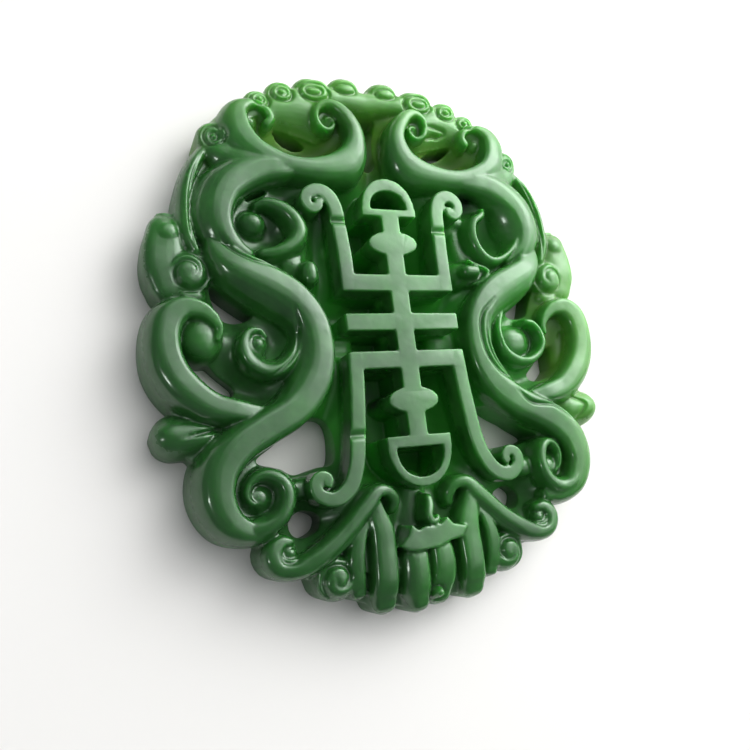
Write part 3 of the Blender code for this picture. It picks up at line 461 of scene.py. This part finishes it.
def band_tree():
    """Geometry Nodes tree that sweeps a carved section along every path of a mesh of edges."""
    tree = bpy.data.node_groups.new("Carved bands", "GeometryNodeTree")
    add_sockets(tree, "INPUT", (("Geometry", "Geometry"), ("Spacing", "Float", .3 * MM),
                                ("Sides", "Int", 32), ("Floor", "Float", FLOOR * MM),
                                ("Dome", "Float", .08 / MM), ("Material", "Material")))
    add_sockets(tree, "OUTPUT", [("Geometry", "Geometry")])
    source = sources(tree)

    def read(name, kind="FLOAT"):
        """A named attribute of the geometry."""
        return wire(tree, "GeometryNodeInputNamedAttribute", {"Name": name}, "Attribute",
                    data_type=kind)

    def store(geometry, name, value, kind="FLOAT"):
        """Keep a value on every point under a name."""
        return wire(tree, "GeometryNodeStoreNamedAttribute",
                    {"Geometry": geometry, "Name": name, "Value": value}, "Geometry",
                    data_type=kind, domain="POINT")

    curve = wire(tree, "GeometryNodeMeshToCurve", {"Mesh": source["Geometry"]})
    curve = wire(tree, "GeometryNodeCurveSplineType", {"Curve": curve}, spline_type="CATMULL_ROM")
    curve = wire(tree, "GeometryNodeResampleCurve", {"Curve": curve, "Length": source["Spacing"]},
                 mode="LENGTH")
    curve = store(curve, "rail", wire(tree, "GeometryNodeInputPosition"), "FLOAT_VECTOR")
    across = vector_math(tree, "CROSS_PRODUCT", (0, 0, 1), wire(tree, "GeometryNodeInputTangent"))
    across = vector_math(tree, "NORMALIZE", across)
    curve = store(curve, "across", across, "FLOAT_VECTOR")

    # Each end closes to a round tip over half of the band's width.
    along = wire(tree, "GeometryNodeSplineParameter", output="Length")
    total = wire(tree, "GeometryNodeSplineLength", output="Length")
    from_end = along.math("MINIMUM", total - along)
    reach = ((read("left") + read("right")) * .5).math("MINIMUM", total * .5)
    short = 1.0 - from_end.math("DIVIDE", reach, clamp=True)
    closing = (1.0 - short * short).math("MAXIMUM", .003).math("SQRT")
    curve = store(curve, "closing", closing.math("MAXIMUM", read("blunt")))

    ring = wire(tree, "GeometryNodeCurvePrimitiveCircle", {"Resolution": source["Sides"]})
    turn = wire(tree, "GeometryNodeInputIndex") / source["Sides"] * math.tau
    skin = wire(tree, "GeometryNodeCurveToMesh",
                {"Curve": curve, "Profile Curve": store(ring, "turn", turn), "Fill Caps": True})

    # The section: a rounded box above the edge height, and walls down to the floor below it.
    cosine, sine = read("turn").math("COSINE"), read("turn").math("SINE")
    on_left, above = cosine.math("GREATER_THAN", 0), sine.math("GREATER_THAN", 0)
    exponent = 2.0 / choose(on_left, read("power_right"), read("power_left"))
    width = choose(on_left, read("right"), read("left")) * read("closing")
    flank = cosine.math("ABSOLUTE").math("POWER", choose(above, WALL_POWER, exponent))
    offset = flank * cosine.math("SIGN") * width
    edge = read("edge")
    lift = (read("crest") - edge) * read("closing").math("MULTIPLY_ADD", .8, .2)
    lift = lift * sine.math("MAXIMUM", 0).math("POWER", exponent)
    dome = (1.0 - read("blunt")) * source["Dome"] * (offset * offset)
    drop = (edge - source["Floor"]) * sine.math("MULTIPLY", -2.2, clamp=True)
    height = edge + (lift - dome * above) - drop

    sideways = wire(tree, "ShaderNodeVectorMath",
                    {0: read("across", "FLOAT_VECTOR"), "Scale": offset}, operation="SCALE")
    upward = wire(tree, "ShaderNodeCombineXYZ", {"Z": height})
    place = vector_math(tree, "ADD", read("rail", "FLOAT_VECTOR"), sideways)
    place = vector_math(tree, "ADD", place, upward)
    skin = wire(tree, "GeometryNodeSetPosition", {"Geometry": skin, "Position": place})
    skin = wire(tree, "GeometryNodeRealizeInstances", {"Geometry": skin})
    skin = wire(tree, "GeometryNodeSetMaterial",
                {"Geometry": skin, "Material": source["Material"]})
    add_node(tree, "NodeGroupOutput", {"Geometry": skin})
    return tree


# ---- meshes

def link(name, data):
    """A new object in the scene."""
    obj = bpy.data.objects.new(name, data)
    bpy.context.collection.objects.link(obj)
    return obj


def cast(name, form):
    """A new object from a bmesh, which is then gone."""
    mesh = bpy.data.meshes.new(name)
    form.to_mesh(mesh)
    form.free()
    return link(name, mesh)


def settle(obj):
    """Replace an object's mesh by what its modifiers make of it."""
    depsgraph = bpy.context.evaluated_depsgraph_get()
    mesh = bpy.data.meshes.new_from_object(obj.evaluated_get(depsgraph))
    obj.modifiers.clear()
    old, obj.data = obj.data, mesh
    bpy.data.meshes.remove(old)


def add_walls(form, under, over):
    """Upright faces between a lower and an upper rim."""
    for i in range(len(under)):
        form.faces.new((under[i - 1], under[i], over[i], over[i - 1]))


def slab(name, outline, low, high):
    """An upright prism on a closed outline."""
    form = bmesh.new()
    under, over = [[form.verts.new((x * MM, y * MM, z * MM)) for x, y in outline]
                   for z in (low, high)]
    add_walls(form, under, over)
    form.faces.new(reversed(under))
    form.faces.new(over)
    bmesh.ops.recalc_face_normals(form, faces=form.faces)
    return cast(name, form)


def cut(solid, tools, operation):
    """Cut a solid by upright tools, which are then gone."""
    for tool in tools:
        modifier = solid.modifiers.new("Cut", "BOOLEAN")
        modifier.operation = operation
        modifier.solver = "MANIFOLD"
        modifier.object = tool
    settle(solid)
    for tool in tools:
        bpy.data.objects.remove(tool)


def opening(outline):
    """A tool that cuts right through."""
    return slab("opening", outline, FLOOR - 1, CLEAR)


def band_rows():
    """Every band as (edge, powers, blunt, points), knobs and fret bands included."""
    rows = []
    for name, (edge, outer, inner, points) in PAIRED.items():
        points = shouldered(points, SHOULDERS.get(name, 0))
        blunt = BLUNT_ENDS.get(name, 0)
        rows.append((edge, outer, inner, blunt, with_tips(points)))
        rows.append((edge, inner, outer, blunt, with_tips(mirrored(points))))
    for name, (edge, outer, inner, points) in SINGLE.items():
        rows.append((edge, outer, inner, BLUNT_ENDS.get(name, 0), with_tips(points)))
    knobs = [(side * x, *rest) for x, *rest in KNOBS.values() for side in (1, -1)]
    for x, y, half_x, half_y, crest, power in knobs + list(LONE_KNOBS.values()):
        points = [(x + half_x * t, y, half_y, half_y, crest) for t in (-1, -.5, 0, .5, 1)]
        rows.append((crest - KNOB_DEPTH, power, power, 0, points))
    for points in FRET_BANDS.values():
        # The curl at the end narrows over its last seven points.
        taper = [FRET_HALF * (1 - .55 * max(0, 7 - left) / 7) for left in range(len(points), 0, -1)]
        rows.append((TOP - FRET_BEVEL, 8.0, 8.0, 1,
                     [(x, y, half, half, TOP) for (x, y), half in zip(points, taper)]))
    return rows


def path_mesh(rows):
    """A mesh of edges whose points carry the sizes that the band tree reads."""
    mesh = bpy.data.meshes.new("band_paths")
    places, edges, values = [], [], []
    for edge, *shape, points in rows:
        start = len(places)
        for x, y, *sizes in points:
            places.append((x * MM, y * MM, 0))
            values.append([size * MM for size in (*sizes, edge)] + shape)
        edges += [(i, i + 1) for i in range(start, len(places) - 1)]
    mesh.from_pydata(places, edges, [])
    names = ("left", "right", "crest", "edge", "power_left", "power_right", "blunt")
    for name, numbers in zip(names, zip(*values)):
        mesh.attributes.new(name, "FLOAT", "POINT").data.foreach_set("value", numbers)
    return mesh


def make_bands(material):
    """Sweep all bands with the Geometry Nodes tree."""
    bands = link("bands", path_mesh(band_rows()))
    modifier = bands.modifiers.new("Carved bands", "NODES")
    modifier.node_group = band_tree()
    socket = modifier.node_group.interface.items_tree["Material"]
    modifier[socket.identifier] = material
    settle(bands)
    return bands


def oval(x, y, half_x, half_y, count):
    """A closed oval whose last point is its first."""
    turns = [math.tau * i / count for i in range(count + 1)]
    return [(x + half_x * math.cos(turn), y + half_y * math.sin(turn)) for turn in turns]


def half_oval(base, half_width, rise):
    """Outline of a half oval standing on, or hanging from, its straight base."""
    turns = [math.pi * i / 24 for i in range(25)]
    return [(half_width * math.cos(turn), base + rise * abs(math.sin(turn)) ** .8)
            for turn in turns]


def make_fret():
    """Straight bars, spine, oval knops and the two half ovals of the fret."""
    boxes = [(SPINE_HALF, *SPINE_ENDS)]
    boxes += [(reach, y - BAR_HALF, y + BAR_HALF) for y, reach in FRET_BARS.items()]
    parts = [slab("bar", [(-half, low), (half, low), (half, high), (-half, high)], FLOOR, TOP)
             for half, low, high in boxes]
    parts += [slab("knop", oval(0, y, *KNOP_HALF, count=32)[1:], FLOOR, TOP) for y in KNOPS]
    for base, half_width, rise, sides, foot, crest in (LOOP, BOWL):
        up = math.copysign(1, rise)
        parts.append(slab("half_oval", half_oval(base, half_width, rise), FLOOR, TOP))
        inside = half_oval(base + up * foot, half_width - sides, rise - up * (foot + crest))
        cut(parts[-1], [opening(inside)], "DIFFERENCE")
    return parts


def blurred(field, spread):
    """A field smoothed by a bell of the given spread, in cells."""
    reach = int(3 * spread) + 1
    bell = np.exp(-.5 * (np.arange(-reach, reach + 1) / spread) ** 2)
    bell /= bell.sum()
    for axis in (0, 1):
        field = np.apply_along_axis(lambda row: np.convolve(row, bell, "same"), axis, field)
    return field


def make_ground(bands):
    """The sunk ground: low in the open and rising softly to the feet of the bands."""
    cell, reach = .25, (26, 29)
    count = [int(2 * r / cell) + 1 for r in reach]
    places, _ = points_of(bands.data)
    rise = np.zeros(count)
    column = np.clip(((places[:, :2] + reach) / cell).round().astype(int), 0, np.array(count) - 1)
    np.maximum.at(rise, tuple(column.T), places[:, 2])
    for axis in (0, 1):
        rise = np.max([np.roll(rise, step, axis) for step in (-1, 0, 1)], axis=0)
    across, along = [np.linspace(-r, r, n) for r, n in zip(reach, count)]
    sunk = np.hypot(across[:, None] / WELL_HALF[0], (along[None, :] - WELL_Y) / WELL_HALF[1]) < 1
    in_well = blurred(sunk * 1.0, WELL_FADE / cell)
    low = GROUND - (GROUND - WELL_FLOOR) * in_well
    height = low - FEET_DROP + FEET_SHARE * blurred(rise, FEET_SPREAD / cell)
    form = bmesh.new()
    under, over = [[[form.verts.new((x * MM, y * MM, z * MM)) for y, z in zip(along, row)]
                    for x, row in zip(across, level)] for level in (np.full(count, FLOOR), height)]
    for sheet in (under, over):
        for a, b in zip(sheet, sheet[1:]):
            for i in range(count[1] - 1):
                form.faces.new((a[i], b[i], b[i + 1], a[i + 1]))
    rims = [sheet[0] + [row[-1] for row in sheet[1:]] + sheet[-1][-2::-1]
            + [row[0] for row in sheet[-2:0:-1]] for sheet in (under, over)]
    add_walls(form, *rims)
    bmesh.ops.recalc_face_normals(form, faces=form.faces)
    ground = cast("ground", form)
    cut(ground, [slab("rim", ring_spline(whole(RIM)), FLOOR + .1, CLEAR)], "INTERSECT")
    outlines = [outline for points in PIERCED.values() for outline in both_sides(points)]
    cut(ground, [opening(ring_spline(outline)) for outline in outlines + [whole(CORD_SLOT)]],
        "DIFFERENCE")
    return ground


def make_plates():
    """The bat's brow and the plates under its wings."""
    plates = [BROW] + [(WING[0], outline) for outline in both_sides(WING[1])]
    return [slab("plate", outline, FLOOR, crest) for crest, outline in plates]


def joined(parts, name):
    """All parts as one object."""
    form = bmesh.new()
    for part in parts:
        form.from_mesh(part.data)
        bpy.data.objects.remove(part)
    return cast(name, form)


def points_of(mesh):
    """Coordinates and normals of a mesh's points, in millimetres and as unit vectors."""
    count = len(mesh.vertices)
    places = np.empty(count * 3, np.float32)
    mesh.vertices.foreach_get("co", places)
    normals = np.empty(count * 3, np.float32)
    mesh.vertices.foreach_get("normal", normals)
    return places.reshape(-1, 3) / MM, normals.reshape(-1, 3)


def put_points(mesh, places):
    """Write coordinates back, from millimetres."""
    mesh.vertices.foreach_set("co", (places * MM).astype(np.float32).ravel())
    mesh.update()


def engrave(places, normals, half_width, depth, lowest, points):
    """Cut one rounded line along a path into the surfaces that face up."""
    path = spline(points, LINE_STEP)
    low, high = path.min(axis=0) - 3 * half_width, path.max(axis=0) + 3 * half_width
    near = ((places[:, :2] > low) & (places[:, :2] < high)).all(axis=1)
    index = np.flatnonzero(near & (places[:, 2] > lowest) & (normals[:, 2] > UPWARD))
    here = places[index, :2]
    gap = np.full(len(index), 1e9, np.float32)
    fade = np.ones(len(index), np.float32)
    closed = np.linalg.norm(path[0] - path[-1]) < 1e-3
    for way, point in zip(np.linspace(0, 1, len(path)), path):
        away = ((here - point) ** 2).sum(axis=1)
        strength = 1 if closed else min(1, LINE_TIP + 4 * min(way, 1 - way))
        fade = np.where(away < gap, strength, fade)
        gap = np.minimum(gap, away)
    groove = depth * fade * np.exp(-gap / half_width ** 2)
    places[index, 2] -= groove * np.clip(normals[index, 2] * 1.5, 0, 1)


def fuse(obj, voxel, smoothing):
    """One skin round everything that overlaps."""
    remesh = obj.modifiers.new("Fuse", "REMESH")
    remesh.mode = "VOXEL"
    remesh.voxel_size = voxel * MM
    smooth = obj.modifiers.new("Soften", "SMOOTH")
    smooth.factor = .5
    smooth.iterations = smoothing
    settle(obj)


def thin_out(obj, most):
    """Keep the carving with fewer triangles."""
    triangles = sum(len(face.vertices) - 2 for face in obj.data.polygons)
    if triangles > most:
        modifier = obj.modifiers.new("Thin", "DECIMATE")
        modifier.ratio = most / triangles
        settle(obj)


def crisp_back(mesh):
    """Keep the rim of the flat back sharp, so the walls above it shade evenly."""
    form = bmesh.new()
    form.from_mesh(mesh)
    for edge in form.edges:
        if max(vert.co.z for vert in edge.verts) < BACK_RIM * MM:
            edge.smooth = edge.calc_face_angle(0) <= SHARP
    form.to_mesh(mesh)
    form.free()


def fit_to_box(places):
    """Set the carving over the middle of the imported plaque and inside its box."""
    low, high = np.array(CAD_BOX) / MM
    middle = (places.min(axis=0) + places.max(axis=0)) / 2
    places[:, :2] += ((low + high) / 2 - middle)[:2]
    places[:] = np.clip(places, low + BOX_GAP, high - BOX_GAP)


# ---- jade

def jade_group():
    """Colour, roughness and height of polished nephrite, as a shader node group; its colour holds
    painted light and shade.
    """
    tree = bpy.data.node_groups.new("Nephrite", "ShaderNodeTree")
    add_sockets(tree, "INPUT", [(name.capitalize(), "Color") for name in JADE_COLORS])
    add_sockets(tree, "INPUT", (("Cloud Size", "Float", 7 * MM), ("Roughness", "Float", .18)))
    add_sockets(tree, "OUTPUT", (("Color", "Color"), ("Roughness", "Float"), ("Height", "Float")))
    source = sources(tree)
    place = wire(tree, "ShaderNodeTexCoord", output="Object")
    x, y, z = (Wire(tree, socket)
               for socket in add_node(tree, "ShaderNodeSeparateXYZ", {0: place}).outputs)

    def noise(scale, detail, roughness=.5):
        return wire(tree, "ShaderNodeTexNoise", {"Vector": place, "Scale": scale, "Detail": detail,
                                                 "Roughness": roughness})

    def blend(share, low, high):
        return wire(tree, "ShaderNodeMix", {0: share, 6: low, 7: high}, 2, data_type="RGBA")

    # Painted shade makes the lower left deep, and a painted glow makes the sunk parts bright,
    # standing in for light from inside.
    cloud = noise(1.0 / source["Cloud Size"], 4.0, .55)
    # Painted light and shade: brighter towards the upper right, deeper towards the lower left.
    lower_left_shade = x * (.45 / (24 * MM)) + y * (.35 / (27 * MM))
    share = cloud.math("MULTIPLY_ADD", 2.0, -.65).math("ADD", lower_left_shade, clamp=True)
    color = blend(share, source["Deep"], source["Bright"])
    # Painted glow: low parts inside the well turn clear green, standing in for light from inside
    # the stone.
    middle = vector_math(tree, "MULTIPLY_ADD", place, (1 / (15 * MM), 1 / (19 * MM), 0),
                         (-.15, .05, 0))
    middle = vector_math(tree, "LENGTH", middle, output="Value")
    low = ramp(z, 4.4, 2.4)
    color = blend(low * middle.math("MULTIPLY_ADD", -4.0, 4.0, clamp=True), color, source["Glow"])
    # Its low floors near the crown and the right rim get a painted yellowish glow, standing in for
    # light through thin stone.
    warm = ramp(y, 15, 19).math("MAXIMUM", ramp(x, 16, 19)) * .75
    color = blend(low * warm, color, source["Warm"])
    # The crown and the right rim are thin, so light passes: they are painted paler to stand in for
    # it.
    thin = ramp(y, 18.5, 27.5).math("MAXIMUM", ramp(x, 16.5, 25.5))
    thin = thin * cloud.math("MULTIPLY_ADD", 1.2, .1, clamp=True)
    color = blend(thin, color, source["Pale"])
    for *centre, reach in DARK_SPOTS:
        away = vector_math(tree, "DISTANCE", place, [part * MM for part in centre], output="Value")
        spot = (away.math("MULTIPLY_ADD", -1.6 / (reach * MM), 1.9)
                + cloud.math("MULTIPLY_ADD", 1.6, -.9))
        color = blend(spot.math("MULTIPLY", .95, clamp=True), color, (.002, .004, .003, 1))
    grain, wave = noise(1 / (.5 * MM), 3.0), noise(1 / (2.4 * MM), 2.0)
    rough = source["Roughness"] + grain.math("MULTIPLY_ADD", .12, -.06)
    add_node(tree, "NodeGroupOutput", {"Color": color, "Roughness": low * .22 + rough,
                                       "Height": wave + grain * .12})
    return tree


def make_jade(settings):
    """Polished green nephrite, slightly translucent."""
    material = bpy.data.materials.new("jade")
    material.use_nodes = True
    tree = material.node_tree
    shader = tree.nodes["Principled BSDF"]
    group = add_node(tree, "ShaderNodeGroup", node_tree=jade_group())
    for name in JADE_COLORS:
        group.inputs[name.capitalize()].default_value = (*getattr(settings, name), 1)
    group.inputs["Roughness"].default_value = settings.roughness
    bump = add_node(tree, "ShaderNodeBump", {"Height": Wire(tree, group.outputs["Height"]),
                                             "Strength": .3, "Distance": .2 * MM})
    tree.links.new(group.outputs["Color"], shader.inputs["Base Color"])
    tree.links.new(group.outputs["Roughness"], shader.inputs["Roughness"])
    tree.links.new(bump.outputs["Normal"], shader.inputs["Normal"])
    for name, value in (("IOR", 1.61), ("Specular Tint", (.86, 1, .89, 1)),
                        ("Subsurface Weight", settings.translucence),
                        ("Subsurface Radius", (.5, 1.0, .45)), ("Subsurface Scale", 2.5 * MM)):
        shader.inputs[name].default_value = value
    return material


# ---- add-on

class CarvingSettings(bpy.types.PropertyGroup):
    """Sizes of the carving."""
    voxel: bpy.props.FloatProperty(
        name="Grid", description="Grid that fuses the bands into one skin, in mm",
        default=.13, min=.08, max=.5)
    smoothing: bpy.props.IntProperty(
        name="Smoothing", description="Rounds of smoothing on the fused skin", default=3,
        min=0, max=20)
    triangles: bpy.props.IntProperty(
        name="Triangles", description="Most triangles kept on the pendant", default=192000)
    engraving: bpy.props.FloatProperty(
        name="Engraving", description="Depth of the fine lines, as a share of the drawn depth",
        default=1, min=0, max=2)


class JadeSettings(bpy.types.PropertyGroup):
    """Looks of the stone."""
    # Deep green, also the colour of the painted shade towards the lower left.
    deep: bpy.props.FloatVectorProperty(
        name="Deep", description="Green in the thick parts", subtype="COLOR", size=3,
        default=(.016, .082, .015))
    # Bright green, also the colour of the painted light towards the upper right.
    bright: bpy.props.FloatVectorProperty(
        name="Bright", description="Green of the clouds in the stone", subtype="COLOR", size=3,
        default=(.042, .21, .032))
    # Painted paleness of the thin crown and right rim, standing in for light passing through.
    pale: bpy.props.FloatVectorProperty(
        name="Pale", description="Yellow green of the thin parts", subtype="COLOR", size=3,
        default=(.13, .36, .05))
    # Painted glow of the sunk parts, standing in for light from inside the stone.
    glow: bpy.props.FloatVectorProperty(
        name="Glow", description="Clear green of the sunk parts", subtype="COLOR", size=3,
        default=(.035, .27, .025))
    # Painted yellowish glow on low floors near the rim, standing in for light through thin stone.
    warm: bpy.props.FloatVectorProperty(
        name="Warm", description="Yellowish green of low floors near the rim", subtype="COLOR",
        size=3, default=(.13, .27, .03))
    roughness: bpy.props.FloatProperty(
        name="Roughness", description="Roughness of the polish", default=.19, min=0, max=1)
    translucence: bpy.props.FloatProperty(
        name="Translucence", description="Share of light that scatters inside the stone",
        default=.8, min=0, max=1)


class StageSettings(bpy.types.PropertyGroup):
    """Camera, light and floor."""
    camera_place: bpy.props.FloatVectorProperty(
        name="Camera", description="Place of the camera", subtype="TRANSLATION", unit="LENGTH",
        default=(-.02961, -.01687, .06383))
    camera_turn: bpy.props.FloatVectorProperty(
        name="Camera Turn", description="Turn of the camera about X, Y and Z", subtype="EULER",
        unit="ROTATION", default=(math.radians(11.39), math.radians(-23.70), math.radians(-2.53)))
    lens: bpy.props.FloatProperty(
        name="Lens", description="Focal length on a 36 mm sensor, in mm", default=33.6)
    softbox: bpy.props.FloatVectorProperty(
        name="Softbox", description="Place of the softbox", subtype="TRANSLATION", unit="LENGTH",
        default=(.188, .145, .183))
    softbox_size: bpy.props.FloatProperty(
        name="Softbox Size", description="Side of the softbox", unit="LENGTH", default=.5)
    softbox_power: bpy.props.FloatProperty(
        name="Softbox Power", description="Power of the softbox, in watts", default=.6)
    floor: bpy.props.FloatVectorProperty(
        name="Floor", description="Colour of the floor", subtype="COLOR", size=3,
        default=(.74, .73, .71))


class JADE_OT_pendant(bpy.types.Operator):
    """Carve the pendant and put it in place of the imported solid"""
    bl_idname = "jade.pendant"
    bl_label = "Carve Pendant"

    def execute(self, context):
        carving = context.scene.carving
        jade = make_jade(context.scene.jade)
        bands = make_bands(jade)
        parts = [bands, make_ground(bands)] + make_plates() + make_fret()
        pendant = joined(parts, "carved_pendant")
        fuse(pendant, carving.voxel, carving.smoothing)
        places, normals = points_of(pendant.data)
        paired = list(LINES_PAIRED.values())
        paired += [(*RING_LINE, oval(*ring, count=12)) for ring in RINGS.values()]
        lines = list(LINES_SINGLE.values())
        lines += [(*line, outline) for *line, points in paired for outline in both_sides(points)]
        for half_width, depth, lowest, points in lines:
            engrave(places, normals, half_width, depth * carving.engraving, lowest, points)
        fit_to_box(places)
        put_points(pendant.data, places)
        thin_out(pendant, carving.triangles)
        pendant.data.materials.clear()
        pendant.data.materials.append(jade)
        pendant.data.shade_smooth()
        crisp_back(pendant.data)
        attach(pendant, "root")
        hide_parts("pendant")
        return {"FINISHED"}


def area_light(name, place, size, power):
    """A square area light that faces the middle of the stage."""
    light = bpy.data.lights.new(name, "AREA")
    light.energy = power
    light.size = size
    obj = link(name, light)
    obj.location = place
    obj.rotation_euler = Vector(place).to_track_quat("Z", "Y").to_euler()


class JADE_OT_stage(bpy.types.Operator):
    """Set the floor, the light and the camera"""
    bl_idname = "jade.stage"
    bl_label = "Set Stage"

    def execute(self, context):
        stage = context.scene.stage
        mesh = bpy.data.meshes.new("floor")
        corners = [(x * FLOOR_REACH, y * FLOOR_REACH, CAD_BOX[0][2] - .02 * MM)
                   for x, y in ((-1, -1), (1, -1), (1, 1), (-1, 1))]
        mesh.from_pydata(corners, [], [(0, 1, 2, 3)])
        floor = link("floor", mesh)
        plain = bpy.data.materials.new("floor")
        plain.use_nodes = True
        shader = plain.node_tree.nodes["Principled BSDF"]
        shader.inputs["Base Color"].default_value = (*stage.floor, 1)
        shader.inputs["Roughness"].default_value = .6
        mesh.materials.append(plain)
        # Lights one behind the other, each larger and dimmer, fade the softbox from its core.
        for share, glow in SOFTBOX_RINGS:
            area_light("softbox", Vector(stage.softbox) * (1 + .02 * share),
                       stage.softbox_size * share, stage.softbox_power * glow * share ** 2)
        area_light("glint", (-.20, -.06, .11), .02, .06)
        world = bpy.data.worlds.new("studio")
        world.use_nodes = True
        background = world.node_tree.nodes["Background"]
        background.inputs["Color"].default_value = (.92, .96, 1, 1)
        background.inputs["Strength"].default_value = .25
        context.scene.world = world
        context.scene.view_settings.view_transform = "Standard"
        camera = bpy.data.cameras.new("camera")
        camera.lens = stage.lens
        camera.sensor_width = 36
        camera.clip_start = .002
        camera.clip_end = 10
        obj = link("camera", camera)
        obj.rotation_mode = "ZYX"
        obj.location = stage.camera_place
        obj.rotation_euler = stage.camera_turn
        context.scene.camera = obj
        return {"FINISHED"}


class JADE_PT_panel(bpy.types.Panel):
    """Sidebar panel of the pendant"""
    bl_label = "Jade Pendant"
    bl_idname = "JADE_PT_panel"
    bl_space_type = "VIEW_3D"
    bl_region_type = "UI"
    bl_category = "Jade Pendant"

    def draw(self, context):
        for group, kind in GROUPS.items():
            box = self.layout.box()
            for setting in kind.__annotations__:
                box.prop(getattr(context.scene, group), setting)
        for operator in OPERATORS:
            self.layout.operator(operator.bl_idname)


GROUPS = {"carving": CarvingSettings, "jade": JadeSettings, "stage": StageSettings}
OPERATORS = (JADE_OT_pendant, JADE_OT_stage)


def register():
    for name, group in GROUPS.items():
        bpy.utils.register_class(group)
        setattr(bpy.types.Scene, name, bpy.props.PointerProperty(type=group))
    for item in (*OPERATORS, JADE_PT_panel):
        bpy.utils.register_class(item)


def unregister():
    for item in reversed((*OPERATORS, JADE_PT_panel)):
        bpy.utils.unregister_class(item)
    for name, group in GROUPS.items():
        delattr(bpy.types.Scene, name)
        bpy.utils.unregister_class(group)


def main():
    register()
    bpy.ops.jade.pendant()
    bpy.ops.jade.stage()


if __name__ == "__main__":
    main()
